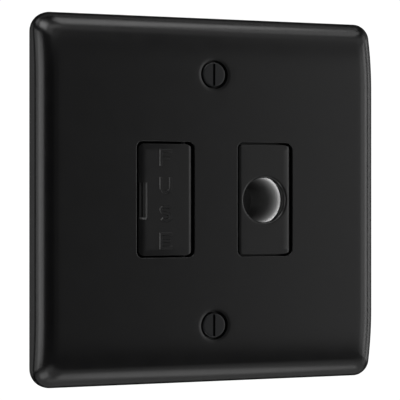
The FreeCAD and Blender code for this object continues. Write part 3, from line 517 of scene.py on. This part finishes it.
# notch: place of its right wall, its lower and upper wall, the rounds of those
# three, and the floor's three levels with the places of the steps between them
NWX, NWZ = -17.6, 4.15
NR, NRB, NRT = 0.45, 0.5, 0.02
ND1, ND2, ND3 = 0.45, 0.85, 1.8
NS1, NS2, NSR = -18.2, -19.02, 0.26
NZO = NWZ + NRB + 0.15


def panel_path(g, rl=1.3, rr=1.9, nc=8):
    """Open path round the panel's edge from the notch's lower end, down and
    round to its upper end, drawn in by g."""
    pts = []
    x0, x1, h = PX0 + g, PX1 - g, PH - g
    a_, b_ = max(rl - g, 0.12), max(rr - g, 0.12)
    for t in range(7):
        pts.append((x0, -NZO + (-h + a_ + NZO) * t / 6.0))
    for k in range(1, nc + 1):
        a = math.radians(180 + 90 * k / nc)
        pts.append((x0 + a_ + a_ * math.cos(a), -h + a_ + a_ * math.sin(a)))
    for k in range(nc + 1):
        a = math.radians(270 + 90 * k / nc)
        pts.append((x1 - b_ + b_ * math.cos(a), -h + b_ + b_ * math.sin(a)))
    for k in range(1, 12):
        pts.append((x1, -h + b_ + (2 * h - 2 * b_) * k / 12.0))
    for k in range(nc + 1):
        a = math.radians(90 * k / nc)
        pts.append((x1 - b_ + b_ * math.cos(a), h - b_ + b_ * math.sin(a)))
    for k in range(nc + 1):
        a = math.radians(90 + 90 * k / nc)
        pts.append((x0 + a_ + a_ * math.cos(a), h - a_ + a_ * math.sin(a)))
    for t in range(1, 7):
        pts.append((x0, h - a_ + (NZO - h + a_) * t / 6.0))
    return pts


def carrier_y(x, g):
    return PF + face_drop(x, g, PX0, PX1, 1.75, 1.05)


def slopes(d, pieces, floor_d):
    """Drop at the distance d past a lip's flat end along straight slopes, each
    given as its width and its angle, then straight down to the floor."""
    drop = 0.0
    for w, ang in pieces:
        t = math.tan(math.radians(ang))
        if d <= w:
            return min(drop + max(d, 0.0) * t, floor_d)
        drop += w * t
        d -= w
    return floor_d


def notch_drop(x, z):
    floor_d = ND1
    if x < NS1:
        floor_d = ND1 + min((NS1 - x) / NSR, 1.0) * (ND2 - ND1)
    if x < NS2 + 1e-4:
        floor_d = ND3
    right = slopes(NWX + NR - x, ((0.21, 33), (0.3, 54)), floor_d)
    low = slopes(NWZ + NRB + z, ((0.5, 41),), floor_d)
    high = slopes(NWZ + NRT - z, ((0.02, 20),), floor_d)
    return min(right, low, high)


car = Skin()
edge = [at(panel_path(0.0), PB)]
for g in STEPS:
    edge.append([(x, carrier_y(x, g), z) for x, z in panel_path(g)])
inner_path = panel_path(STEPS[-1])
gx = [PX0 + g for g in STEPS if PX0 + g < NWX - 0.02]
gx += [NS2, NS2 + 0.012, NS1 - NSR - 0.02, NS1 - NSR, NS1 - NSR + 0.02, NS1 - 0.02, NS1, NS1 + 0.02, -17.9]
gx += [NWX - 0.02, NWX, NWX + 0.02, NWX + 0.19, NWX + 0.21, NWX + 0.23, NWX + NR - 0.02, NWX + NR, NWX + NR + 0.02, NWX + NR + 0.15]
gx = sorted(set(round(v, 5) for v in gx))
gz = [-NZO, -(NWZ + NRB) - 0.02, -(NWZ + NRB), -(NWZ + NRB) + 0.02, -NWZ - 0.02, -NWZ, -NWZ + 0.02, -3.4, -2.6, -1.8, -0.9, 0.0, 0.9, 1.8, 2.6, 3.4]
gz += [NWZ - 0.02, NWZ, NWZ + NRT, NWZ + NRT + 0.02, NZO]
gz = sorted(set(round(v, 5) for v in gz))
patch_pts = [(x, max(PF + notch_drop(x, z), carrier_y(x, 9.0)), z) for x in gx for z in gz]
nz_ = len(gz)
patch = [(i * nz_ + j, (i + 1) * nz_ + j, (i + 1) * nz_ + j + 1, i * nz_ + j + 1) for i in range(len(gx) - 1) for j in range(nz_ - 1)]
rim_x = [x for x in gx if x > PX0 + STEPS[-1] + 1e-6]
top_out = inner_path + [(x, NZO) for x in rim_x] + [(rim_x[-1], z) for z in gz[::-1][1:-1]] + [(x, -NZO) for x in rim_x[::-1]]
extra_c = [(x * 1.0, z * 1.0) for x in range(-18, -6) for z in range(-12, 13)
           if not (x < -16 and abs(z) < 5.6) and -18 < x < -7 and abs(z) < 11.9]
faces, flat = fill(top_out, [], extra_c)
car.island(*join_islands([car.strips(edge, closed=False), (faces, [(x, carrier_y(x, 9.0), z) for x, z in flat]), (patch, patch_pts)]),
           merge=2e-4)
# left wall under the notch
car.loft([[(PX0, max(PF + notch_drop(PX0, z), carrier_y(PX0, 9.0)), z) for z in gz], [(PX0, PB, z) for z in gz]], closed=False)
# back of the panel
backp = panel_path(0.0)
car.island([tuple(reversed(range(len(backp))))], at(backp, PB))


def lift_end(o, rise):
    """Raises the lower end of a moulding by rise, fading out towards its middle."""
    for v in o.data.vertices:
        if v.co.z < -0.008:
            v.co.z += rise * MM * min((-v.co.z - 0.008) / 0.0053, 1.0)


def box_island(sk, x0, x1, y0, y1, z0, z1):
    P = [(x0, y0, z0), (x1, y0, z0), (x1, y1, z0), (x0, y1, z0), (x0, y0, z1), (x1, y0, z1), (x1, y1, z1), (x0, y1, z1)]
    for f in ((3, 2, 1, 0), (4, 5, 6, 7), (0, 1, 5, 4), (2, 3, 7, 6), (1, 2, 6, 5), (3, 0, 4, 7)):
        sk.island([f], P)


# cradle with its round bed, end stops and the knuckle along the right edge
LX, LY, BR = -12.9, -1.6, 2.98
prof_bed = []
for k in range(19):
    a = math.acos((0.5 - LY) / BR)
    ang = math.pi / 2 + a + (2 * math.pi - 2 * a) * k / 18
    prof_bed.append((LX + BR * math.cos(ang), LY + BR * math.sin(ang)))
sect = [(LX + 4.45, 0.5), (LX + 4.45, PB), (LX - 4.45, PB), (LX - 4.45, 0.5)] + prof_bed
n = len(sect)
car.island([tuple(range(n))], [(x, y, 6.3) for x, y in sect])
car.island([tuple(reversed(range(n)))], [(x, y, -6.3) for x, y in sect])
for i in range(n):
    a, b = sect[i], sect[(i + 1) % n]
    if i < 4:
        car.island([(0, 1, 2, 3)], [(a[0], a[1], 6.3), (a[0], a[1], -6.3), (b[0], b[1], -6.3), (b[0], b[1], 6.3)])
bed = [[(x, y, z) for x, y in prof_bed] for z in (6.3, -6.3)]
car.loft(bed, closed=False)
for s in (1, -1):
    z0, z1 = sorted((s * 12.75, s * 13.33))
    box_island(car, LX - 2.6, LX + 2.6, PB, -1.0, z0, z1)
kn = []
for z in (-PH, PH):
    kn.append([(-7.6 + 1.6 * math.cos(a), -5.7 + 1.6 * math.sin(a), z) for a in [math.radians(d) for d in range(0, 181, 9)]])
car.loft(kn, closed=False)
for z, flip in ((-PH, False), (PH, True)):
    pts = [(-7.6 + 1.6 * math.cos(a), -5.7 + 1.6 * math.sin(a), z) for a in [math.radians(d) for d in range(0, 181, 9)]]
    ids = list(range(len(pts)))
    car.island([tuple(ids if flip else reversed(ids))], pts)
car_obj = car.obj("carrier_body")
lift_end(car_obj, 0.14)
sharpen(car_obj, 34)
dress(car_obj, "insert_moulding", "fuse_drawer", ["fuse_carrier"])

# the raised word, in plain strokes
lx, lw, lh, st = -12.6, 3.3, 4.1, 0.9
x0, x1, t2 = lx - lw / 2, lx + lw / 2, lh / 2
LZ = (10.1, 3.45, -3.2, -9.7)
glyphs = []
glyphs.append((LZ[0], [(x0, -t2), (x0 + st, -t2), (x0 + st, -0.45), (x1 - 0.5, -0.45), (x1 - 0.5, 0.25),
                       (x0 + st, 0.25), (x0 + st, t2 - st), (x1, t2 - st), (x1, t2), (x0, t2)]))
ro, ri = lw / 2, lw / 2 - st
pts = [(x0, t2)]
for k in range(0, 17):
    a = math.pi + math.pi * k / 16
    pts.append((lx + ro * math.cos(a), -t2 + ro + ro * math.sin(a)))
pts += [(x1, t2), (x1 - st, t2)]
for k in range(0, 17):
    a = -math.pi * k / 16
    pts.append((lx + ri * math.cos(a), -t2 + ro + ri * math.sin(a)))
pts.append((x0 + st, t2))
glyphs.append((LZ[1], pts))
mid = []
for k in range(0, 15):
    a = math.radians(25 + (270 - 25) * k / 14)
    mid.append((1.22 * math.cos(a), 0.83 + 0.82 * math.sin(a)))
for k in range(1, 15):
    a = math.radians(90 - (90 + 155) * k / 14)
    mid.append((1.22 * math.cos(a), -0.83 + 0.82 * math.sin(a)))
left, right = [], []
for i, (x, y) in enumerate(mid):
    xa, ya = mid[max(i - 1, 0)]
    xb, yb = mid[min(i + 1, len(mid) - 1)]
    d = math.hypot(xb - xa, yb - ya)
    nx_, ny_ = -(yb - ya) / d, (xb - xa) / d
    left.append((lx + x + nx_ * st / 2, y + ny_ * st / 2))
    right.append((lx + x - nx_ * st / 2, y - ny_ * st / 2))
glyphs.append((LZ[2], left + right[::-1]))
glyphs.append((LZ[3], [(x0, -t2), (x1, -t2), (x1, -t2 + st), (x0 + st, -t2 + st), (x0 + st, -st / 2), (x1 - 0.4, -st / 2),
                       (x1 - 0.4, st / 2), (x0 + st, st / 2), (x0 + st, t2 - st), (x1, t2 - st), (x1, t2), (x0, t2)]))
word = bmesh.new()
for z, g in glyphs:
    area = sum(g[i][0] * g[(i + 1) % len(g)][1] - g[(i + 1) % len(g)][0] * g[i][1] for i in range(len(g)))
    if area < 0:
        g = g[::-1]
    base = word.faces.new([word.verts.new((x * MM, (PF + 0.01) * MM, (z + y) * MM)) for x, y in g])
    base.normal_update()
    top = bmesh.ops.inset_region(word, faces=[base], thickness=0.19 * MM, depth=0.0, use_even_offset=True, use_boundary=True)
    for v in base.verts:
        v.co.y = (PF - 0.25) * MM
me = bpy.data.meshes.new("carrier_word")
word.to_mesh(me)
word.free()
word_obj = bpy.data.objects.new("carrier_word", me)
scene.collection.objects.link(word_obj)
dress(word_obj, "insert_moulding", "fuse_drawer")

# ------------------------------------------------------------------ outlet insert
OX, IX, IW, IH, IF = 13.54, 13.33, 6.93, 13.4, -7.45
BX, MOUTH, BORE, SOCKET = 13.2, 5.4, 5.4, 6.32
ML, MB = 0.72, 0.95
SEG = 128


def outline(g, rl=1.2, rr=1.9, nc=9, n=16):
    """Closed outline of the insert, drawn in by g, its right corners rounder."""
    pts = []
    x0, x1, h = IX - IW + g, IX + IW - g, IH - g
    a_, b_ = max(rl - g, 0.12), max(rr - g, 0.12)
    for cx, cz, r, a0 in ((x1 - b_, -h + b_, b_, 270), (x1 - b_, h - b_, b_, 0), (x0 + a_, h - a_, a_, 90), (x0 + a_, -h + a_, a_, 180)):
        for k in range(nc + 1):
            a = math.radians(a0 + 90.0 * k / nc)
            pts.append((cx + r * math.cos(a), cz + r * math.sin(a)))
        if a0 == 270:
            for k in range(1, n):
                pts.append((x1, -h + b_ + (2 * h - 2 * b_) * k / n))
        if a0 == 90:
            for k in range(1, n):
                pts.append((x0, h - a_ - (2 * h - 2 * a_) * k / n))
    return pts


def insert_y(x, g):
    return IF + face_drop(x, g, IX - IW, IX + IW, 0.7, 1.1)


ins = Skin()
GI = [g for g in STEPS if g < 0.7] + [0.72]
loops = [at(outline(0.0), -4.5)]
for g in GI:
    loops.append([(x, insert_y(x, g), z) for x, z in outline(g)])
ring_i = outline(GI[-1])
lip = [(MOUTH + ML * (1 - math.sin(math.radians(a))), ML * (1 - math.cos(math.radians(a)))) for a in range(0, 91, 5)]
fine = circ(BX, 0, MOUTH + ML + 0.06, SEG)
extra_i = [(x * 1.0, z * 1.0) for x in range(7, 21) for z in range(-12, 13)
           if math.hypot(x - BX, z) > MOUTH + 1.2 and 8.2 < x < 18.6 and abs(z) < 12.2]
extra_i += [(19.17, z * 0.5) for z in range(-22, 23) if math.hypot(19.17 - BX, z * 0.5) > MOUTH + 1.0]
faces, flat = fill(ring_i, [fine], extra_i)
parts = [ins.strips(loops), (faces, [(x, insert_y(x, 9.0), z) for x, z in flat]),
         ins.strips([at(fine, lambda x, z: insert_y(x, 9.0))]
                    + [at(circ(BX, 0, r, SEG), lambda x, z, d=d: max(IF + d, insert_y(x, 9.0))) for r, d in lip])]
ins.island(*join_islands(parts), merge=2e-4)
ins.loft([at(circ(BX, 0, MOUTH, SEG), IF + ML), at(circ(BX, 0, MOUTH, SEG), IF + MB)])
ins.loft([at(circ(BX, 0, MOUTH, SEG), IF + MB), at(circ(BX, 0, SOCKET, SEG), IF + MB + 0.65)])
ins.loft([at(circ(BX, 0, SOCKET, SEG), IF + MB + 0.65), at(circ(BX, 0, SOCKET, SEG), 13.0)])
ins.loft([at(circ(BX, 0, SOCKET, SEG), 13.0), at(circ(BX, 0, 7.0, SEG), 13.0)])
ins.loft([at(circ(BX, 0, 7.0, SEG), 13.0), at(circ(BX, 0, 7.0, SEG), -3.0)])
fl = rrect(OX, 0, 8.05, 14.5, 0.4, 4, 1, 1)
ins.loft([at(fl, -3.0), at(fl, -4.5)])
for y, inner, flip in ((-4.5, outline(0.0), False), (-3.0, circ(BX, 0, 7.0, SEG), True)):
    fcs, pp = fill(fl, [inner], [])
    fcs = [tuple(reversed(f)) for f in fcs] if flip else fcs
    ins.island(fcs, [(x, y, z) for x, z in pp])
ins_obj = ins.obj("outlet_body")
lift_end(ins_obj, 0.22)
sharpen(ins_obj, 34)
dress(ins_obj, "insert_moulding", "unit", ["outlet_insert"])

# the sleeve that lines the bore, with its bell mouth
SR, SY = 6.17, -3.3
tube = Skin()
tube.loft([at(circ(BX, 0, SR, SEG), 13.0), at(circ(BX, 0, SR, SEG), SY + 0.05)])
bell = [at(circ(BX, 0, SR, SEG), SY + 0.05), at(circ(BX, 0, SR - 0.015, SEG), SY + 0.015), at(circ(BX, 0, SR - 0.05, SEG), SY)]
for k in range(1, 13):
    a = math.radians(90.0 * k / 12)
    bell.append(at(circ(BX, 0, BORE + (SR - 0.05 - BORE) * (1 - math.sin(a)), SEG), SY + 1.3 * (1 - math.cos(a))))
for y in (0.0, 3.0, 6.0, 9.0, 13.0):
    bell.append(at(circ(BX, 0, BORE, SEG), y))
tube.loft(bell)
tube.loft([at(circ(BX, 0, BORE, SEG), 13.0), at(circ(BX, 0, SR, SEG), 13.0)])
sleeve_obj = tube.obj("sleeve_body")
dress(sleeve_obj, "sleeve_moulding", "unit", ["outlet_sleeve"])

# ------------------------------------------------------------------ box fixing screws
def lathe(name, profile, cx, cz, n=72):
    """Closed turned solid about a line along Y; profile is (y, radius)."""
    bm = bmesh.new()
    rings = []
    for y, r in profile:
        if r < 1e-6:
            rings.append([bm.verts.new((cx * MM, y * MM, cz * MM))])
        else:
            rings.append([bm.verts.new(((cx + r * math.cos(2 * math.pi * k / n)) * MM, y * MM,
                                        (cz + r * math.sin(2 * math.pi * k / n)) * MM)) for k in range(n)])
    for a, b in zip(rings, rings[1:]):
        for i in range(n):
            j = (i + 1) % n
            if len(a) == 1:
                bm.faces.new((a[0], b[j], b[i]))
            elif len(b) == 1:
                bm.faces.new((a[i], a[j], b[0]))
            else:
                bm.faces.new((a[i], a[j], b[j], b[i]))
    bmesh.ops.recalc_face_normals(bm, faces=bm.faces)
    me = bpy.data.meshes.new(name)
    bm.to_mesh(me)
    bm.free()
    o = bpy.data.objects.new(name, me)
    scene.collection.objects.link(o)
    return o


def block(name, x0, x1, y0, y1, z0, z1):
    bm = bmesh.new()
    bmesh.ops.create_cube(bm, size=1.0)
    for v in bm.verts:
        v.co = Vector(((x0 + x1) / 2 + v.co.x * (x1 - x0), (y0 + y1) / 2 + v.co.y * (y1 - y0), (z0 + z1) / 2 + v.co.z * (z1 - z0))) * MM
    me = bpy.data.meshes.new(name)
    bm.to_mesh(me)
    bm.free()
    o = bpy.data.objects.new(name, me)
    scene.collection.objects.link(o)
    return o


def carve(o, tools):
    """Cuts the tools out of o and bakes the result into its mesh."""
    for tl in tools:
        md = o.modifiers.new("cut", "BOOLEAN")
        md.operation = "DIFFERENCE"
        md.solver = "EXACT"
        md.object = tl
    dg = bpy.context.evaluated_depsgraph_get()
    me = bpy.data.meshes.new_from_object(o.evaluated_get(dg))
    o.modifiers.clear()
    old = o.data
    o.data = me
    me.name = o.name
    bpy.data.meshes.remove(old)
    for tl in tools:
        bpy.data.objects.remove(tl)
    return o


for s, tag in ((1, "upper"), (-1, "lower")):
    z = s * FIX
    prof_s = [(-7.15, 0.0), (-7.15, 2.3), (-7.15, 2.55)]
    for k in range(1, 8):
        a = math.radians(90.0 * k / 7)
        prof_s.append((-7.15 + 0.34 * (1 - math.cos(a)), 2.62 + 0.36 * math.sin(a)))
    prof_s += [(-6.6, 3.0), (-5.5, 3.0), (-5.5, 1.4), (-4.4, 1.4)]
    y = -4.4
    while y < 18.4:
        prof_s.append((y, 1.75))
        prof_s.append((y + 0.3, 1.5))
        y += 0.6
    prof_s += [(18.8, 1.75), (19.4, 1.05), (19.4, 0.0)]
    o = lathe("screw_%s_turned" % tag, prof_s, 0.0, z)
    carve(o, [block("slot_tool", -0.3, 0.3, -8.0, -6.25, z - 2.62, z + 2.62)])
    sharpen(o, 30)
    dress(o, "screw_finish", "unit", ["fixing_screw_" + tag])

# ------------------------------------------------------------------ CAD pieces
for name, obj in frame["nodes"].items():
    if obj.hide_render:
        continue
    obj.data.materials.clear()
    obj.data.materials.append(MATS[slot_of[name]])

# ------------------------------------------------------------------ stage
def stage_mat(name, colour, rough):
    m, nt, bsdf, co = new_mat(name)
    t = noise(nt, co, 3.0, 2.0)
    nt.links.new(mixed(nt, t, colour, tuple(c * 0.97 for c in colour)), bsdf.inputs["Base Color"])
    bsdf.inputs["Roughness"].default_value = rough
    return m


floor_me = bpy.data.meshes.new("floor")
FZ = -0.6
floor_me.from_pydata([(-0.9, -0.75, FZ), (0.9, -0.75, FZ), (0.9, 0.42, FZ), (-0.9, 0.42, FZ)], [], [(0, 1, 2, 3)])
floor = bpy.data.objects.new("floor", floor_me)
scene.collection.objects.link(floor)
floor_me.materials.append(stage_mat("floor_pale", (0.82, 0.82, 0.82), 0.7))

world = bpy.data.worlds.new("studio")
scene.world = world
world.use_nodes = True
nt = world.node_tree
nt.nodes.clear()
wo = nt.nodes.new("ShaderNodeOutputWorld")
bg_seen = nt.nodes.new("ShaderNodeBackground")
bg_seen.inputs["Color"].default_value = (1, 1, 1, 1)
bg_seen.inputs["Strength"].default_value = 1.05
bg_light = nt.nodes.new("ShaderNodeBackground")
bg_light.inputs["Color"].default_value = (1, 1, 1, 1)
bg_light.inputs["Strength"].default_value = 0.0145
mixs = nt.nodes.new("ShaderNodeMixShader")
lp = nt.nodes.new("ShaderNodeLightPath")
nt.links.new(lp.outputs["Is Camera Ray"], mixs.inputs["Fac"])
nt.links.new(bg_light.outputs["Background"], mixs.inputs[1])
nt.links.new(bg_seen.outputs["Background"], mixs.inputs[2])
nt.links.new(mixs.outputs["Shader"], wo.inputs["Surface"])

# soft boxes: name, degrees right of the plate's normal, degrees up, distance, width, height, brightness
LIGHTS = [
    ("left_a", -66.0, 0.0, 0.9, 0.2, 0.75, 0.426),
    ("left_b", -76.0, 0.0, 0.9, 0.2, 0.75, 0.323),
    ("left_c", -86.0, 0.0, 0.9, 0.2, 0.75, 0.613),
    ("left_d", -98.0, 0.0, 0.9, 0.2, 0.75, 0.278),
    ("left_e", -112.0, 0.0, 0.9, 0.2, 0.75, 0.233),
    ("left_rear", -150.0, 0.0, 0.9, 0.4, 0.75, 0.054),
    ("front", 0.0, 0.0, 0.9, 0.2, 0.75, 0.027),
    ("right_a", 18.0, 0.0, 0.9, 0.2, 0.75, 0.044),
    ("right_b", 30.0, 0.0, 0.9, 0.2, 0.75, 0.122),
    ("right_c", 42.0, 0.0, 0.9, 0.2, 0.75, 0.306),
    ("right_d", 54.0, 0.0, 0.9, 0.2, 0.75, 0.227),
    ("right_e", 66.0, 0.0, 0.9, 0.2, 0.75, 0.656),
    ("right_f", 92.0, 0.0, 0.9, 0.2, 0.75, 0.434),
    ("right_rear", 110.0, 0.0, 0.9, 0.2, 0.75, 0.087),
    ("front_mid", 0.0, 35.0, 0.9, 0.5, 0.25, 0.099),
    ("front_high", 45.0, 35.0, 0.9, 0.5, 0.25, 0.143),
    ("top_front", 0.0, 55.0, 0.9, 0.4, 0.15, 0.425),
    ("top_right", 60.0, 55.0, 0.9, 0.4, 0.15, 0.386),
    ("top_high", 60.0, 68.0, 0.9, 0.4, 0.15, 0.691),
    ("top_peak", 60.0, 78.0, 0.9, 0.4, 0.15, 0.494),
    ("top_rear", 120.0, 60.0, 0.9, 0.4, 0.15, 0.091),
    ("back_high", 180.0, 70.0, 0.9, 0.6, 0.3, 0.044),
    ("low_right", 50.0, -66.0, 0.41, 0.22, 0.12, 0.30),
    ("low_side", 50.0, -52.0, 0.45, 0.22, 0.12, 0.023),
    ("low_front", 0.0, -82.0, 0.41, 0.22, 0.12, 0.10),
    ("top_soft", 26.0, 46.0, 0.9, 0.35, 0.12, 0.14),
    ("corner_tl_a", -22.0, 44.0, 0.9, 0.35, 0.25, 0.16),
    ("corner_tl_b", -60.0, 56.0, 0.9, 0.5, 0.35, 1.0),
    ("corner_tl_c", -116.0, 50.0, 0.9, 0.4, 0.3, 0.3),
    ("corner_tr_a", 80.0, 30.0, 0.9, 0.35, 0.25, 0.22),
    ("corner_tr_b", 108.0, 28.0, 0.9, 0.35, 0.25, 0.04),
    ("corner_bl_a", -22.0, -44.0, 0.5, 0.2, 0.14, 0.1),
    ("corner_bl_b", -60.0, -57.0, 0.44, 0.24, 0.14, 0.42),
    ("corner_br", 80.0, -28.0, 0.65, 0.28, 0.2, 0.14),
]


def soft_box(name, az, el, dist, w, h, power):
    li = bpy.data.lights.new(name, "AREA")
    li.shape = "RECTANGLE"
    li.size = w
    li.size_y = h
    li.energy = power
    o = bpy.data.objects.new(name, li)
    o.visible_camera = False
    scene.collection.objects.link(o)
    a, e = math.radians(az), math.radians(el)
    d = Vector((math.sin(a) * math.cos(e), -math.cos(a) * math.cos(e), math.sin(e)))
    o.location = d * dist
    o.rotation_mode = "QUATERNION"
    o.rotation_quaternion = (-d).to_track_quat("-Z", "Y")
    return o


for name, az, el, dist, w, h, bright in LIGHTS:
    soft_box(name, az, el, dist, w, h, bright * w * h * math.pi * 4)
# soft lights for the pale lining of the bore alone
lining_only = bpy.data.collections.new("lining_only")
lining_only.objects.link(sleeve_obj)
for name, az, el, w, h, bright in (("bore_left", -45.0, 0.0, 0.6, 0.9, 0.64), ("bore_high", 0.0, 30.0, 0.5, 0.35, 2.5),
                                   ("bore_low", 0.0, -30.0, 0.5, 0.35, 3.0)):
    lamp = soft_box(name, az, el, 0.9, w, h, bright * w * h * math.pi * 4)
    lamp.light_linking.receiver_collection = lining_only

# ------------------------------------------------------------------ camera
YAW = math.radians(22.4)
cam_data = bpy.data.cameras.new("camera")
cam = bpy.data.objects.new("camera", cam_data)
scene.collection.objects.link(cam)
cam.location = (-0.430 * math.sin(YAW), -0.430 * math.cos(YAW), 0.0)
cam.rotation_euler = Euler((math.radians(90), 0, -YAW), "XYZ")
cam_data.sensor_width = 36.0
cam_data.sensor_fit = "HORIZONTAL"
cam_data.lens = 158.36
cam_data.shift_x = -0.0072
cam_data.shift_y = 0.0
cam_data.clip_start = 0.01
cam_data.clip_end = 20.0
scene.camera = cam

scene.view_settings.view_transform = "Standard"
scene.view_settings.look = "None"
scene.view_settings.exposure = 0.0
scene.view_settings.gamma = 1.0
